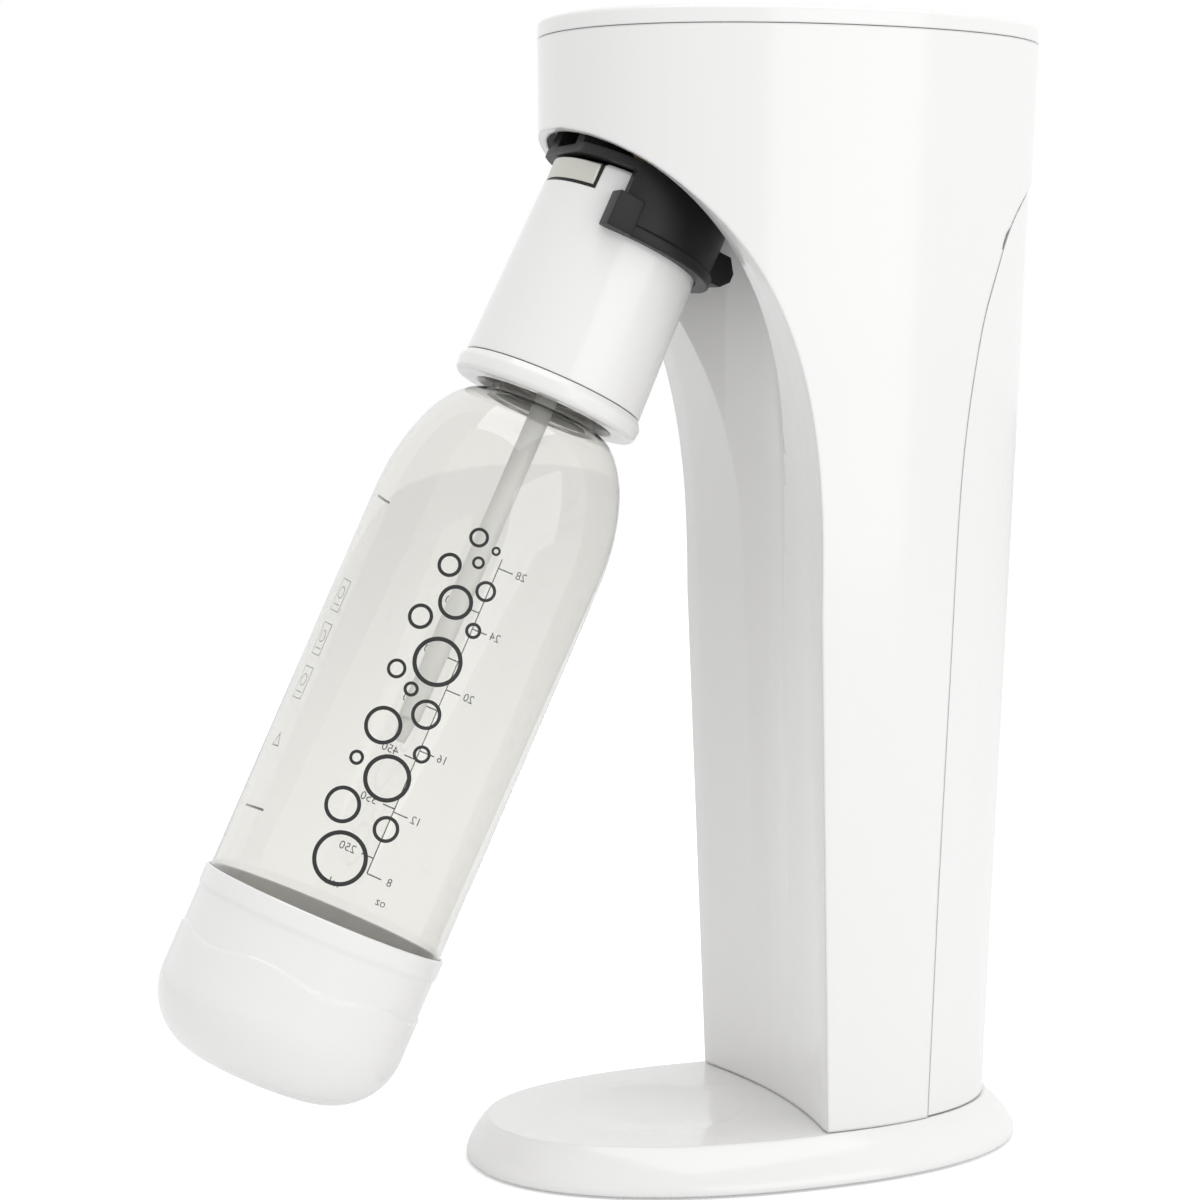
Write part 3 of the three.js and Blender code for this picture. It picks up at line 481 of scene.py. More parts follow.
def clearMaterial(name, colour, roughness, ior, bump):
    material = bpy.data.materials.new(name)
    material.use_nodes = True
    tree = material.node_tree
    shader = tree.nodes["Principled BSDF"]
    surface = placeGroup(tree, mouldSurface, {"Colour": (*colour, 1), "Shade": (*[c * 0.97 for c in colour], 1),
                                              "Tone": 0.5, "Roughness": roughness, "Spread": 0.02,
                                              "Grain Size": 60})
    tree.links.new(surface.outputs["Colour"], shader.inputs["Base Color"])
    tree.links.new(surface.outputs["Roughness"], shader.inputs["Roughness"])
    raised = tree.nodes.new("ShaderNodeBump")
    raised.inputs["Strength"].default_value = bump
    raised.inputs["Distance"].default_value = 0.5 * mm
    tree.links.new(surface.outputs["Height"], raised.inputs["Height"])
    tree.links.new(raised.outputs[0], shader.inputs["Normal"])
    shader.inputs["Transmission Weight"].default_value = 1
    shader.inputs["IOR"].default_value = ior
    path = tree.nodes.new("ShaderNodeLightPath")  # light from lamps passes straight through
    passing = tree.nodes.new("ShaderNodeBsdfTransparent")
    passing.inputs["Color"].default_value = (0.98, 0.98, 0.97, 1)
    joined = tree.nodes.new("ShaderNodeMixShader")
    for socket, part in zip(joined.inputs, (path.outputs["Is Shadow Ray"], shader.outputs[0], passing.outputs[0])):
        tree.links.new(part, socket)
    tree.links.new(joined.outputs[0], tree.nodes["Material Output"].inputs["Surface"])
    return material


# each worn colour is lighter than its base colour, so it paints a highlight on sharp edges as well as wear
finish = {
    "glossWhite": mouldedMaterial("glossWhite", (0.83, 0.825, 0.82), (0.78, 0.775, 0.768), 0.16, tone=0.2,
                                  bump=0.012, wornHighlight=(0.86, 0.855, 0.85), coat=0.35, edge=0.6),
    "housingWhite": mouldedMaterial("housingWhite", (0.83, 0.825, 0.82), (0.78, 0.775, 0.768), 0.16, tone=0.2,
                                    bump=0.012, wornHighlight=(0.86, 0.855, 0.85), coat=0.35, edge=1.8),
    "satinBlack": mouldedMaterial("satinBlack", (0.011, 0.011, 0.012), (0.007, 0.007, 0.008), 0.42, tone=0.5,
                                  bump=0.08, grainSize=1400, wornHighlight=(0.05, 0.05, 0.055), edge=0.5, shine=0.3),
    "valveBlack": mouldedMaterial("valveBlack", (0.05, 0.05, 0.055), (0.03, 0.03, 0.033), 0.5, tone=0.5,
                                  bump=0.12, grainSize=1400, wornHighlight=(0.12, 0.12, 0.12), edge=0.4),
    "champagneSilver": mouldedMaterial("champagneSilver", (0.6, 0.595, 0.545), (0.52, 0.515, 0.47), 0.34, tone=0.4,
                                       bump=0.03, wornHighlight=(0.7, 0.69, 0.62), metal=0.7, edge=0.4),
    "tubeWhite": mouldedMaterial("tubeWhite", (0.88, 0.88, 0.87), (0.82, 0.82, 0.81), 0.35, tone=0.3, bump=0.03,
                                 edge=0.3),
    "softRubber": mouldedMaterial("softRubber", (0.03, 0.03, 0.03), (0.018, 0.018, 0.018), 0.8, tone=0.6,
                                  bump=0.2, grainSize=1800, edge=0.3),
    "brushedSteel": mouldedMaterial("brushedSteel", (0.5, 0.51, 0.52), (0.38, 0.39, 0.4), 0.32, tone=0.6,
                                    bump=0.05, wornHighlight=(0.7, 0.7, 0.7), metal=1, edge=0.3),
    "turnedBrass": mouldedMaterial("turnedBrass", (0.55, 0.40, 0.17), (0.42, 0.29, 0.11), 0.3, tone=0.6,
                                   bump=0.05, wornHighlight=(0.75, 0.6, 0.3), metal=1, edge=0.2),
    "greyPlastic": mouldedMaterial("greyPlastic", (0.52, 0.525, 0.53), (0.44, 0.445, 0.45), 0.5, tone=0.4,
                                   bump=0.1, grainSize=1300, edge=0.4),
    "blackInk": mouldedMaterial("blackInk", (0.012, 0.012, 0.013), (0.02, 0.02, 0.021), 0.45, tone=0.5,
                                bump=0.02, edge=0, dust=0),
    "clearBottle": clearMaterial("clearBottle", (0.885, 0.88, 0.858), 0.02, 1.5, 0.03),
}
print("finishes ready:", len(finish))

# Tower: main housing, rear cover and lid

tower = {
    "power": 2.16, "low": (16.5, 55.6, 84.6, 10.6), "high": (seamZ, 66.7, 94.5, 16.6), "wall": 3,
    "dip": 5.6, "dipHalfWidth": 52, "bayRadius": 45.5, "ceiling": 385, "coverStep": 0.8, "coverWall": 2.6,
    "coverGap": 0.8, "notch": [(77.5, 332), (79, 337), (90, 347.5), (101, 347.5), (101, 332)],
    "notchDepth": 1, "shelfTop": 376, "lid": 6.5, "buttonY": 8, "buttonRadius": 17.4,
}


def towerOval(z, inset=0):
    (lowZ, *low), (highZ, *high) = tower["low"], tower["high"]
    share = (z - lowZ) / (highZ - lowZ)
    width, depth, centre = [a + (b - a) * share for a, b in zip(low, high)]
    return (z, width - inset, depth - inset, centre)


def towerSkin(name, lowZ, highZ, inset=0):
    return stackOvals(name, [towerOval(lowZ, inset), towerOval(highZ, inset)], tower["power"])


def frontDip(x):
    return tower["dip"] * max(0, 1 - (x / tower["dipHalfWidth"]) ** 2)


def frontOpening(back, up):
    # straight up the column, then an arch that sweeps forward to the lower edge of the head
    starts = [Vector((2 + back, seamZ - 205 + up)), Vector((2 + back, seamZ - 150 + up)),
              Vector((2 + back, seamZ - 72 + up)), Vector((-82, seamZ - 33.5 + up))]
    arch = []
    for k in range(37):
        t = k / 36
        weights = ((1 - t) ** 3, 3 * t * (1 - t) ** 2, 3 * t * t * (1 - t), t ** 3)
        arch.append(tuple(sum((w * p for w, p in zip(weights, starts)), Vector((0, 0)))))
    outline = [(-200, -20), (8 + back, -20), (8 + back, 16.5)] + arch + [(-200, seamZ - 33.5 + up)]
    return sideForm("frontOpening", outline, 90, 60, frontDip)


def rearRegion(gap, ahead=False):
    # everything behind the seam of the rear cover, or everything ahead of it
    seam = [(53.2, 0.24), (56.3, 0.44), (59.4, 0.617), (66, 0.727), (74, 0.79), (87, 0.85), (116, 0.905)]
    curve = smoothRow([(y + gap, share * seamZ - 1.2 * gap) for y, share in seam], 6)
    outline = [(50.6 + gap, -20), (51 + gap, 16.2)] + curve + [(200, curve[-1][1])]
    outline += [(200, 500), (-200, 500), (-200, -20)] if ahead else [(200, -20)]
    return sideForm("rearRegion", outline, 90, 1)


def bottleBay(grow):
    bay = post("bay", tower["bayRadius"] + grow, -2, tower["ceiling"] + grow, 0, bottleY, 160)
    return bay if grow else keepWithin(bay, towerSkin("inner", -5, seamZ, tower["wall"]))


def screwPlaces():
    places = []
    for side in (1, -1):
        for y in (24, 43):
            reach = abs((y - tower["low"][3]) / (tower["low"][2] - tower["wall"])) ** tower["power"]
            inner = (tower["low"][1] - tower["wall"]) * (1 - reach) ** (1 / tower["power"])
            places.append((side * (inner - 3.4), y))
    return places


def makeHousing():
    wall, shelfTop = tower["wall"], tower["shelfTop"]
    piece = towerSkin("housing", tower["low"][0], seamZ - 0.3)
    room = cutAway(towerSkin("room", tower["low"][0] - 1, seamZ + 1, wall), frontOpening(wall, wall * 0.6),
                   bottleBay(wall))
    cutAway(piece, frontOpening(0, 0), bottleBay(0), room)
    shelf = keepWithin(box("shelf", (-90, 16, shelfTop - 4), (90, 130, shelfTop)),
                       towerSkin("shelfEdge", -5, seamZ, wall - 1))
    cutAway(shelf, post("shelfHole", 15.4, 300, 400, 0, cylinderY))
    weld(piece, shelf)
    for x, y in screwPlaces():
        boss = keepWithin(post("boss", 4.6, tower["low"][0], 44, x, y),
                          towerSkin("bossEdge", 0, 60, wall - 1))
        weld(piece, boss)
        cutAway(piece, post("bossHole", 2.3, 0, 37, x, y, 24))
    for side in (1, -1):
        near, far = sorted((side * 16.4, side * 23.4))
        y, z = pivot.y / mm, pivot.z / mm
        boss = weld(rod("pivotBoss", 5.5, near, far, y, z),
                    box("pivotPost", (near, y - 5.5, z), (far, y + 5.5, tower["ceiling"] + 1)))
        weld(piece, boss)
    cutAway(piece, rod("pivotHole", 2.8, -24.4, 24.4, pivot.y / mm, pivot.z / mm),
            post("hoseHole", 4.4, tower["ceiling"] - 1, tower["ceiling"] + wall + 1, 0, pivot.y / mm),
            box("catch", (-7, 2.5, 345), (7, 17.5, 355)))
    notch = cutAway(sideForm("notch", tower["notch"], 90), towerSkin("notchCore", 300, 360, tower["notchDepth"]))
    cutAway(piece, notch, rearRegion(0))
    return finishPiece(piece, "tower", finish["housingWhite"], ["main_housing"], angle=28)


def makeRearCover():
    step = tower["coverStep"]
    piece = towerSkin("rearCover", tower["low"][0] + 0.3, seamZ - 10, step)
    cutAway(piece, rearRegion(tower["coverGap"], ahead=True),
            towerSkin("hollow", 10, seamZ, step + tower["coverWall"]))
    return finishPiece(piece, "rear_cover", finish["glossWhite"], ["rear_cover"], angle=28)


def makeLid():
    z, width, depth, centre = towerOval(seamZ)
    crown = [(4.4 + 2.1 * math.sin(a), 3 * (1 - math.cos(a))) for a in [math.pi / 2 * i / 7 for i in range(8)]]
    rows = [(0, 0.25), (0.25, 0)] + crown
    piece = stackOvals("lid", [(z + up, width - inset, depth - inset, centre) for up, inset in rows],
                       tower["power"])
    wall, top = tower["wall"], seamZ + tower["lid"]
    cutAway(piece, towerSkin("under", seamZ - 1, top - wall, wall))
    lip = cutAway(towerSkin("lip", seamZ - 4, top - 2, wall + 0.3),
                  towerSkin("lipRoom", seamZ - 5, top - wall, wall + 2.3))
    weld(piece, lip, post("well", tower["buttonRadius"] + 2, seamZ - 3, top - 2, 0, tower["buttonY"], 96))
    cutAway(piece, post("mouth", tower["buttonRadius"], seamZ - 10, top + 1, 0, tower["buttonY"], 96))
    return finishPiece(piece, "tower", finish["glossWhite"], ["top_lid"], angle=28)


makeHousing()
makeRearCover()
makeLid()
print("tower shaped")

button = {"radius": 17, "low": 402.2, "top": 413.7, "hollow": 0.6}


def makeButton():
    r, top = button["radius"], button["top"]
    crown = [(r * 0.86 * math.cos(a), top - button["hollow"] * math.sin(a) ** 2) for a in
             [math.pi / 2 * i / 8 for i in range(9)]]
    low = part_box("carbonation_button")[0].z / mm
    outline = [(0, low), (2.5, low), (5.5, low + 1.4), (5.5, seamZ + 1), (r - 1.5, seamZ + 1),
               (r - 1.5, seamZ - 2), (r, seamZ - 2), (r, top - 1.6), (r - 0.5, top - 0.6), (r - 1.4, top - 0.1)]
    piece = spinProfile("topButton", outline + crown, 96, tower["buttonY"])
    return finishPiece(piece, "button", finish["glossWhite"], ["carbonation_button"])


makeButton()

steel = {"radius": 30, "wall": 2.6, "neck": 12, "bore": 7, "shoulder": 34}


def makeGasCylinder():
    low, top = [corner.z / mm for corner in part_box("gas_cylinder")]
    r, wall, neck, bore = steel["radius"], steel["wall"], steel["neck"], steel["bore"]
    side = top - steel["shoulder"]
    dome = smoothRow([(r, side), (r - 1.6, side + 8), (0.75 * r + 1.5, side + 16), (0.5 * r + 2, side + 23),
                      (neck, side + 28)], 5)
    room = smoothRow([(bore, side + 24), (0.5 * r - 1, side + 21), (0.75 * r - 1, side + 14), (r - 4.4, side + 7),
                       (r - wall, side - 1)], 5)
    outline = [(0, low), (r - 7, low), (r - 3.6, low + 1), (r - 1, low + 3.8), (r, low + 7)] + dome
    outline += [(neck, top), (bore, top)] + room + [(r - wall, low + 9), (r - 5, low + 5), (0, low + 4)]
    piece = spinProfile("steelCylinder", outline, 128, cylinderY)
    return finishPiece(piece, "gas_cylinder", finish["brushedSteel"], ["gas_cylinder"])


makeGasCylinder()

# Base plate

base = {
    "power": 2.2, "top": 16.2, "topSize": (57, 97.5, -1.7), "lowSize": (68.6, 106.4, 0), "wall": 2.5,
    "flare": [(0, 0), (0.8, 0.1), (3.4, 0.36), (7.6, 0.7), (12, 0.95), (14.2, 1), (15.2, 0.97)],
    "dishRadius": 32, "dishDepth": 1.8,
}


def baseRows(inset, drop, perSpan):
    rows = []
    for below, share in smoothRow(base["flare"], perSpan):
        share = min(max(share, 0), 1)
        width, depth, centre = [a + (b - a) * share for a, b in zip(base["topSize"], base["lowSize"])]
        rows.append((base["top"] - drop - below, width - inset, depth - inset, centre))
    return rows[::-1]


def makeBase():
    piece = stackOvals("basePlate", baseRows(0, 0, 4), base["power"])
    cutAway(piece, stackOvals("baseRoom", baseRows(base["wall"], base["wall"], 1), base["power"]))
    radius, depth, top = base["dishRadius"], base["dishDepth"], base["top"]
    weld(piece, post("dishFloor", radius, top - base["wall"] - depth, top - 0.5, 0, bottleY, 96))
    bowl = smoothRow([(0, top - depth), (radius * 0.5, top - depth * 0.86), (radius * 0.8, top - depth * 0.46),
                      (radius, top + 0.01)], 6)
    cutAway(piece, spinProfile("dish", bowl + [(radius, top + 5), (0, top + 5)], 128, bottleY))
    return finishPiece(piece, "tower", finish["glossWhite"], ["base_plate"], angle=30)


makeBase()
print("base shaped")

# Carriage and infuser, made upright about the axis x = y = 0

infuser = {
    "top": 362, "low": 286, "topRadius": 31.5, "lowRadius": 33.4, "wall": 2.5, "ringLow": 278,
    "ringRadius": 35, "ringMouth": 25, "leverHalf": 21, "leverLow": 353,
    "leverGap": 0.3, "frameWidth": 1.3, "stem": 1.8,
}


def frontBlock(halfWidth, lowZ, highZ):
    return box("front", (-halfWidth, -50, lowZ), (halfWidth, -12, highZ))


def makeInfuser():
    top, low, wall = infuser["top"], infuser["low"], infuser["wall"]
    rTop, rLow = infuser["topRadius"], infuser["lowRadius"]
    outline = roundOff([(rLow, low + 0.3), (rTop, top - 1), (rTop - 0.8, top), (rTop - wall, top),
                        (rTop - wall, top - 6), (rLow - wall, low + 0.3)], [0.3, 0.6, 0.5, 0.3, 0, 0.2])
    piece = spinProfile("infuserShell", outline, 160)
    cutAway(piece, frontBlock(infuser["leverHalf"] + 1.6, infuser["leverLow"] - 1, top + 1))
    finishPiece(piece, "infuser", finish["glossWhite"], ["infuser_body"], hanging=True)

    mouth, ringLow, radius = infuser["ringMouth"], infuser["ringLow"], infuser["ringRadius"]
    spigotRadius = rLow - wall - 0.4 - 0.12
    ring = roundOff([(mouth + 0.9, ringLow), (radius - 1.5, ringLow), (radius - 0.4, ringLow + 1.4),
                     (radius, ringLow + 5.4), (rLow, low), (spigotRadius, low),
                     (spigotRadius, low + 5), (spigotRadius - 2, low + 5), (spigotRadius - 2, low - 2),
                     (mouth, low - 2), (mouth, ringLow + 2.2)], 0.6)
    piece = spinProfile("infuserRing", ring, 160)
    finishPiece(piece, "infuser", finish["glossWhite"], ["infuser_ring"], hanging=True)


def makeLever():
    top, low, outer = infuser["top"], infuser["leverLow"], infuser["topRadius"]
    inner, half = outer - infuser["wall"] - 1, infuser["leverHalf"]
    gap = infuser["leverGap"]
    outline = [(inner, low + gap), (outer - 0.2, low + gap), (outer, top - 1), (outer - 0.9, top - 0.6),
               (inner, top - 0.6)]
    face = spinProfile("releaseLever", roundOff(outline, 0.3), 192)
    keepWithin(face, frontBlock(half - gap, 0, 400))
    stem = post("stem", infuser["stem"], 3.5 - outer, 7 - inner, 0, 0)
    stem.data.transform(Matrix.Translation((0, 0, (low + 2.2) * mm)) @ Matrix.Rotation(math.radians(-90), 4, "X"))
    bounds = [corner.co.y for corner in stem.data.vertices]
    stem.data.transform(Matrix.Translation((0, -outer * mm + 3 * mm - min(bounds), 0)))
    weld(face, stem)
    softenEdges(face, 0.35, 2, 50)
    finishPiece(face, "release_lever", finish["champagneSilver"], ["release_lever"], hanging=True)

    back, front = outer - infuser["wall"] - 1.2, outer - 0.5
    outline = [(back, low - 0.7), (front, low - 0.7), (front, top - 0.8), (back, top - 0.8)]
    rim = spinProfile("leverFrame", roundOff(outline, 0.2), 192)
    keepWithin(rim, frontBlock(half + infuser["frameWidth"], 0, 400))
    cutAway(rim, frontBlock(half, low, 400))
    finishPiece(rim, "infuser", finish["satinBlack"], ["lever_frame"], hanging=True)


carriage = {
    "inner": 32.45, "wall": 3.6, "low": 340, "plateLow": 362.6, "plateTop": 366, "plateFront": -31, "flange": 1.4,
    "lugFront": -18, "lugBack": -8, "lugHeight": 13, "armX": 12.5, "armHalf": 3.5, "eye": 5.1, "pinHole": 2.8,
    "nozzleHole": 5.4, "latch": 350, "latchHalf": 7,
}


def makeCarriage():
    inner, low, high = carriage["inner"], carriage["low"], carriage["plateTop"]
    outer, half = inner + carriage["wall"], carriage["armHalf"]
    flange, lugTop = outer + carriage["flange"], low + carriage["lugHeight"]
    pinY, pinZ = pivot.y / mm - bottleY, pivot.z / mm
    outline = [(inner, low), (flange, low), (flange, low + 4), (outer, low + 4.6), (outer, high), (inner, high)]
    band = spinProfile("carriageFrame", roundOff(outline, [0.3, 0.8, 0.6, 0.4, 0.9, 0.3]), 160)
    keepWithin(band, box("behind", (-50, -14, low - 1), (50, 50, high + 1)))
    for side in (1, -1):
        near, far = sorted((side * (inner - 3.6), side * flange))
        lug = box("lug", (near, carriage["lugFront"], low), (far, carriage["lugBack"], lugTop))
        cutAway(lug, post("lugRoom", inner, 0, 400, steps=160))
        weld(band, softenEdges(lug, 0.8, 3))
    plate = keepWithin(post("plate", outer, carriage["plateLow"], high, steps=160),
                       box("plateArea", (-50, carriage["plateFront"], 0), (50, 50, 500)))
    weld(band, plate)
    for side in (1, -1):
        middle, foot = side * carriage["armX"], carriage["plateLow"] + 1
        outline = [(carriage["plateFront"], foot), (-4, foot), (pinY + 4, pinZ + 2), (pinY - 4, pinZ + 1)]
        arm = sideForm("arm", outline, half, centreX=middle)
        weld(arm, rod("eye", carriage["eye"], middle - half, middle + half, pinY, pinZ))
        weld(band, arm)
    cutAway(band, post("nozzleWay", carriage["nozzleHole"], 0, 500),
            box("latchWay", (-7.5, 20, 344), (7.5, 50, 356.5)),
            rod("pinWay", carriage["pinHole"], -30, 30, pinY, pinZ))
    finishPiece(band, "carriage", finish["satinBlack"], ["carriage_frame"], hanging=True)

    z, reach = carriage["latch"], tower["bayRadius"] - 1.2
    back = infuser["topRadius"] + 1.4
    outline = [(back, z - 5.6), (reach - 3, z - 5.6), (reach, z - 2.4), (reach, z + 1), (reach - 3.4, z + 6),
               (back, z + 6)]
    latch = sideForm("latch", outline, carriage["latchHalf"])
    cutAway(latch, post("latchRoom", inner + 1.5, 0, 400, steps=160))
    softenEdges(latch, 0.7, 3)
    finishPiece(latch, "carriage_latch", finish["satinBlack"], ["carriage_latch"], hanging=True)


makeInfuser()
makeLever()
makeCarriage()
print("carriage and infuser shaped")

# Bottle, cup and tube

bottle = {
    "radius": 43.7, "wall": 0.7, "low": 22.6, "foot": 36, "shoulderLow": 226, "neckLow": 276, "neckTop": 300,
    "neckRadius": 20, "neckWall": 2.6, "flange": 23.5,
}
cup = {"radius": 45.3, "wall": 1.3, "low": 20.3, "top": 83.1, "corner": 25, "inset": 0.6, "wave": 60.6,
       "swing": 1.6, "waves": 6, "bevel": 75.6}
tube = {"radius": 4, "bore": 2.5, "low": 148, "top": 307}


def arc(radiusX, radiusZ, centreX, centreZ, first, last, count):
    return [(centreX + radiusX * math.cos(first + (last - first) * i / count),
             centreZ + radiusZ * math.sin(first + (last - first) * i / count)) for i in range(count + 1)]


def makeBottle():
    r, wall, quarter = bottle["radius"], bottle["wall"], math.pi / 2
    neck, neckLow, neckTop = bottle["neckRadius"], bottle["neckLow"], bottle["neckTop"]
    rise = neckLow - bottle["shoulderLow"]
    bore = neck - bottle["neckWall"]
    outer = arc(r, bottle["foot"], 0, bottle["low"] + bottle["foot"], -quarter, 0, 20)
    outer += [(r, 100), (r, 150), (r, 200)] + arc(r - neck, rise, neck, bottle["shoulderLow"], 0, quarter, 24)
    lipped = [(neck, neckLow + 5), (bottle["flange"] - 0.4, neckLow + 5), (bottle["flange"], neckLow + 5.5),
              (bottle["flange"], neckLow + 6.5), (bottle["flange"] - 0.4, neckLow + 7), (neck, neckLow + 7),
              (neck, neckTop - 0.6), (neck - 0.6, neckTop), (bore + 0.5, neckTop), (bore, neckTop - 0.5),
              (bore, neckLow)]
    inner = arc(r - wall - neck, rise - wall, neck, bottle["shoulderLow"], quarter, 0, 24)[1:]
    inner += [(r - wall, 200), (r - wall, 150), (r - wall, 100)]
    inner += arc(r - wall, bottle["foot"] - wall, 0, bottle["low"] + bottle["foot"], 0, -quarter, 20)
    piece = spinProfile("clearBody", outer + lipped + inner, 160)
    finishPiece(piece, "bottle", finish["clearBottle"], ["bottle"], hanging=True, angle=40)


def makeCup():
    r, wall, corner, low, top = cup["radius"], cup["wall"], cup["corner"], cup["low"], cup["top"]
    rows = [low + corner + 0.5 * i for i in range(int((top - 5 - low - corner) / 0.5) + 1)]
    outer = arc(corner, corner, r - corner, low + corner, -math.pi / 2, 0, 16)
    outer += [(r, z) for z in rows[1:]] + [(r, top - 3.4), (r, top - 0.5), (r - 0.5, top), (r - wall + 0.3, top),
                                           (r - wall, top - 0.4)]
    inner = arc(corner - wall, corner - wall, r - corner, low + corner, 0, -math.pi / 2, 16)
    piece = spinProfile("baseCup", [(0, low)] + outer + inner + [(0, low + wall)], 240)
    for spot in piece.data.vertices:  # a shallow band between a wavy line and the rim
        reach, z = math.hypot(spot.co.x, spot.co.y) / mm, spot.co.z / mm
        if reach < r - 0.05 or z > top - 4.2:
            continue
        turn = math.atan2(spot.co.y, spot.co.x)
        line = cup["wave"] + cup["swing"] * math.sin(cup["waves"] * turn - 1.15)
        above = min(max((z - line) / 0.8 + 0.5, 0), 1)
        below = min(max((cup["bevel"] - z) / 1.6 + 0.5, 0), 1)
        sink = 1 - cup["inset"] * min(above * above * (3 - 2 * above), below) / r
        spot.co.x *= sink
        spot.co.y *= sink
    finishPiece(piece, "bottle", finish["glossWhite"], ["base_cup"], hanging=True, angle=24)


def makeTube():
    r, bore, low, top = tube["radius"], tube["bore"], tube["low"], tube["top"]
    outline = [(bore - 1, low), (bore - 0.4, low), (r - 0.9, low + 8), (r, low + 9), (r, top), (bore, top),
               (bore, low + 9)]
    piece = spinProfile("carbonationTube", roundOff(outline, [0, 0.2, 0.6, 0.6, 0.2, 0.2, 0]), 64)
    finishPiece(piece, "infuser", finish["tubeWhite"], ["carbonation_tube"], hanging=True)


makeBottle()
makeCup()
makeTube()
print("bottle shaped")

# Prints on the bottle: a stream of bubbles in front, a filling scale behind

prints = {
    "ink": 0.05, "bold": 1.35, "bubbleTurn": -21, "scaleTurn": 150, "markTurn": -129,
    "bubbles": [(-1, 104, 9.5, 1.1), (9.5, 119, 4.6, 0.9), (-7.5, 121, 6.4, 1.0), (3, 135, 8.2, 1.1),
                (-9.5, 137.5, 2.6, 0.8), (10.6, 147, 3.1, 0.8), (-5.5, 151, 6.6, 1.0), (6.6, 160, 5.2, 0.9),
                (-1.6, 166, 2.6, 0.8), (-9, 170.5, 3.4, 0.8), (3, 178, 8.6, 1.1), (-8.6, 190, 4.4, 0.9),
                (10, 192.5, 2.8, 0.8), (0.6, 199, 6.0, 1.0), (8.6, 206.5, 3.6, 0.8), (-6.4, 210, 4.2, 0.9),
                (2.4, 214.5, 2.2, 0.7), (-0.8, 222.5, 3.4, 0.8), (6.4, 220.5, 1.6, 0.6)],
    "ounces": [(8, 98.8), (12, 123.3), (16, 147.8), (20, 172.3), (24, 196.8), (28, 221.3)],
    "scaleX": {"ounces": (-3, -9.5), "millilitres": (2.4, 10.5)}, "figure": 4.4, "fine": 0.5, "unitZ": 91,
    "millilitres": [(250, 104.8), (350, 124.5), (450, 144.2), (550, 163.9), (650, 183.5), (750, 203.2)],
}


def wrapPrint(piece, turn, z):
    # bends a flat print, drawn in x and z, round the bottle
    radius = bottle["radius"] + 0.02
    for spot in piece.data.vertices:
        angle = math.radians(turn) + spot.co.x / mm / radius
        spot.co = Vector((radius * math.cos(angle), radius * math.sin(angle), z + spot.co.z / mm)) * mm
    return piece


def ringPrint(x, z, radius, stroke, turn, steps=56):
    deselectAll()
    bpy.ops.mesh.primitive_circle_add(vertices=steps, radius=radius * mm, fill_type="NGON",
                                      rotation=(math.pi / 2, 0, 0))
    piece = bpy.context.object
    bpy.ops.object.transform_apply(rotation=True)
    bpy.ops.object.mode_set(mode="EDIT")
    bpy.ops.mesh.select_all(action="SELECT")
    bpy.ops.mesh.inset(thickness=stroke * mm)
    bpy.ops.mesh.delete(type="FACE")
    bpy.ops.object.mode_set(mode="OBJECT")
    return wrapPrint(piece, turn + math.degrees(x / bottle["radius"]), z)


def barPrint(x, z, width, height, turn, cuts=6):
    deselectAll()
    bpy.ops.mesh.primitive_plane_add(size=1, rotation=(math.pi / 2, 0, 0))
    piece = bpy.context.object
    piece.scale = (width * mm, height * mm, 1)
    bpy.ops.object.transform_apply(rotation=True, scale=True)
    bpy.ops.object.mode_set(mode="EDIT")
    bpy.ops.mesh.select_all(action="SELECT")
    bpy.ops.mesh.subdivide(number_cuts=cuts)
    bpy.ops.object.mode_set(mode="OBJECT")
    return wrapPrint(piece, turn + math.degrees(x / bottle["radius"]), z)


def figurePrint(words, x, z, size, turn):
    deselectAll()
    bpy.ops.object.text_add(rotation=(math.pi / 2, 0, 0))
    piece = bpy.context.object
    piece.data.body, piece.data.size = str(words), size * mm
    piece.data.align_x, piece.data.align_y = "CENTER", "CENTER"
    piece.data.resolution_u = 3
    bpy.ops.object.convert(target="MESH")
    bpy.ops.object.transform_apply(rotation=True)
    return wrapPrint(bpy.context.object, turn + math.degrees(x / bottle["radius"]), z)


def finishPrint(name, parts):
    deselectAll()
    for part in parts:
        part.select_set(True)
    bpy.context.view_layer.objects.active = parts[0]
    bpy.ops.object.join()
    piece = bpy.context.object
    piece.name = name
    piece.data.name = name
    bpy.ops.object.mode_set(mode="EDIT")
    bpy.ops.mesh.select_all(action="SELECT")
    bpy.ops.mesh.remove_doubles(threshold=0.001 * mm)
    bpy.ops.mesh.normals_make_consistent(inside=False)
    bpy.ops.object.mode_set(mode="OBJECT")
    outward = sum(face.normal.dot(face.center.normalized() - Vector((0, 0, face.center.normalized().z)))
                  for face in piece.data.polygons)
    if outward < 0:
        piece.data.flip_normals()
    ink = piece.modifiers.new("ink", "SOLIDIFY")
    ink.thickness, ink.offset = prints["ink"] * mm, 1
    bpy.ops.object.modifier_apply(modifier=ink.name)
    return finishPiece(piece, "bottle", finish["blackInk"], hanging=True)


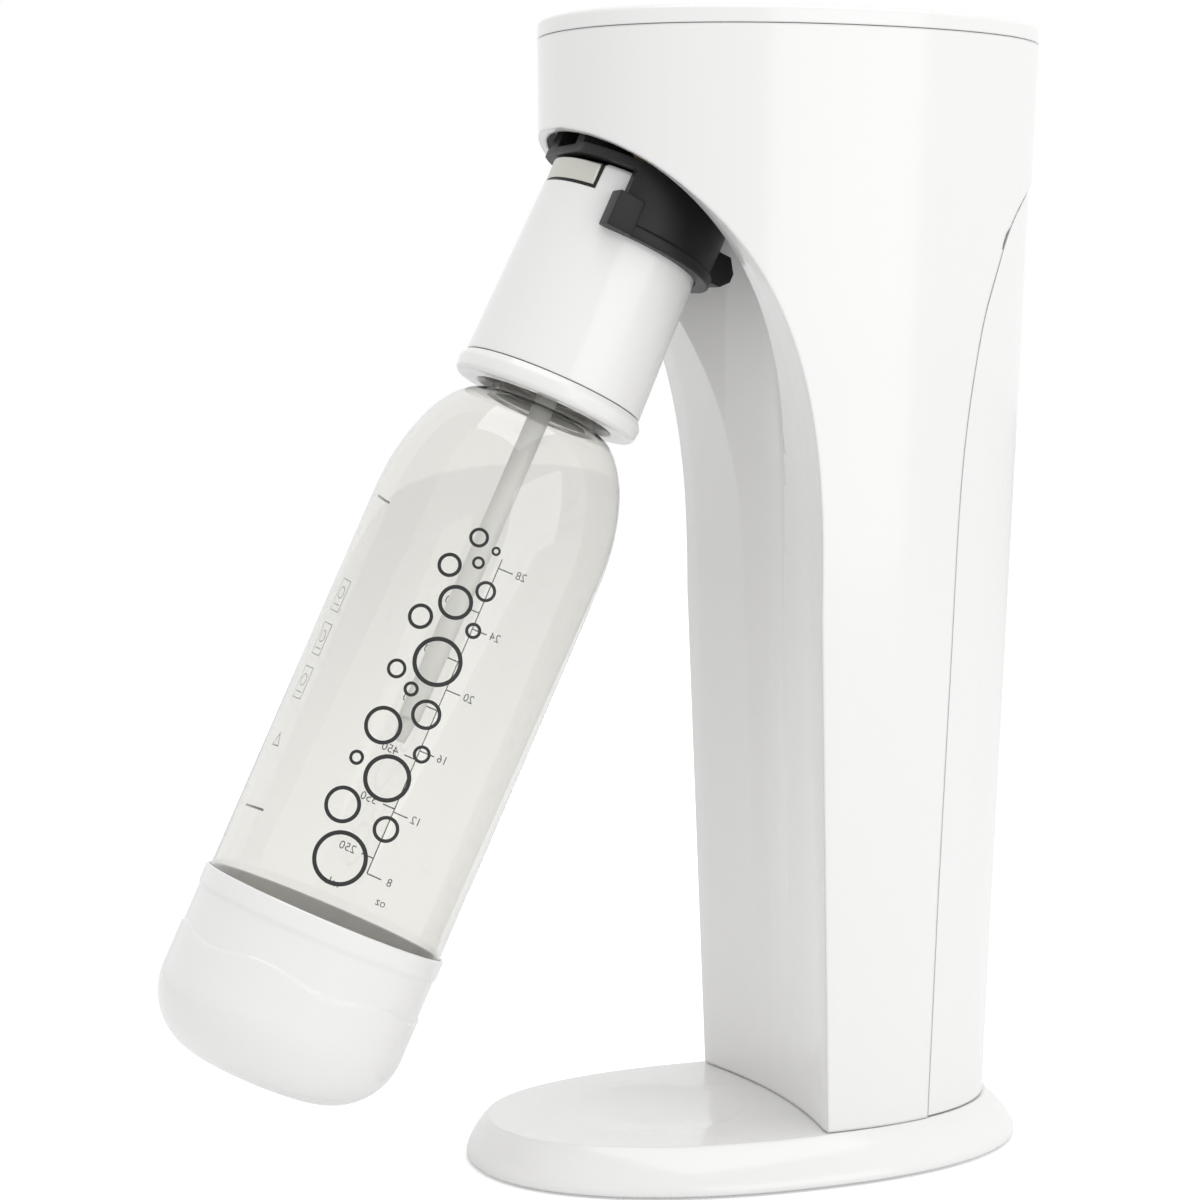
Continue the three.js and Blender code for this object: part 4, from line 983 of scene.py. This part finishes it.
def makePrints():
    front, back, mark = prints["bubbleTurn"], prints["scaleTurn"], prints["markTurn"]
    finishPrint("bottleBubbles", [ringPrint(x, z, radius, stroke * prints["bold"], front)
                                  for x, z, radius, stroke in prints["bubbles"]])
    scale = [barPrint(0, 162, 0.45, 126, back)]
    for kind, unit in (("ounces", "oz"), ("millilitres", "mL")):
        tick, label = prints["scaleX"][kind]
        for figure, z in prints[kind]:
            scale += [barPrint(tick, z, 2 * abs(tick), prints["fine"], back),
                      figurePrint(figure, label, z, prints["figure"], back)]
        scale.append(figurePrint(unit, label, prints["unitZ"], prints["figure"], back))
    finishPrint("bottleScale", scale)
    marks = [barPrint(0, 226, 14, 0.9, mark)]
    for z in (188, 171, 154):  # plain panels down the side
        marks += [barPrint(0, z + edge * 6, 8, 0.35, mark) for edge in (1, -1)]
        marks += [barPrint(edge * 4, z, 0.35, 12, mark) for edge in (1, -1)]
        marks += [ringPrint(0, z + 1, 2.4, 0.4, mark, 24), barPrint(0, z - 3.6, 5, 0.4, mark)]
    marks += [ringPrint(0, 131, 3.6, 0.5, mark, 3), barPrint(-4, 106, 15, 0.9, mark)]
    marks += [barPrint(0, 110 + 2.2 * i, 0.9, 1.3 + 0.3 * (i % 3), 70) for i in range(50)]
    finishPrint("bottleMarks", marks)


makePrints()
print("prints placed")

# Finishes of the parts kept from the frame

keptFinishes = {
    "satinBlack": ["infuser_cap"],
    "valveBlack": ["valve_block"],
    "greyPlastic": ["base_bottom_cover", "cylinder_cradle", "gas_hose", "thread_collar"],
    "softRubber": ["rubber_foot_1", "rubber_foot_2", "rubber_foot_3", "rubber_foot_4", "nozzle_seal", "neck_seal",
                   "cylinder_washer"],
    "brushedSteel": ["rocker_lever", "lever_pin", "lever_spring", "actuator_pin", "release_spring",
                     "carriage_pivot_pin", "base_screw_1", "base_screw_2", "base_screw_3", "base_screw_4"],
    "turnedBrass": ["cylinder_valve", "safety_valve", "hose_fitting", "outlet_nozzle", "check_valve",
                    "inlet_nipple", "vent_valve"],
}
for name, members in keptFinishes.items():
    for member in members:
        node = frame["nodes"][member]
        node.data.materials.clear()
        node.data.materials.append(finish[name])
print("kept parts painted")
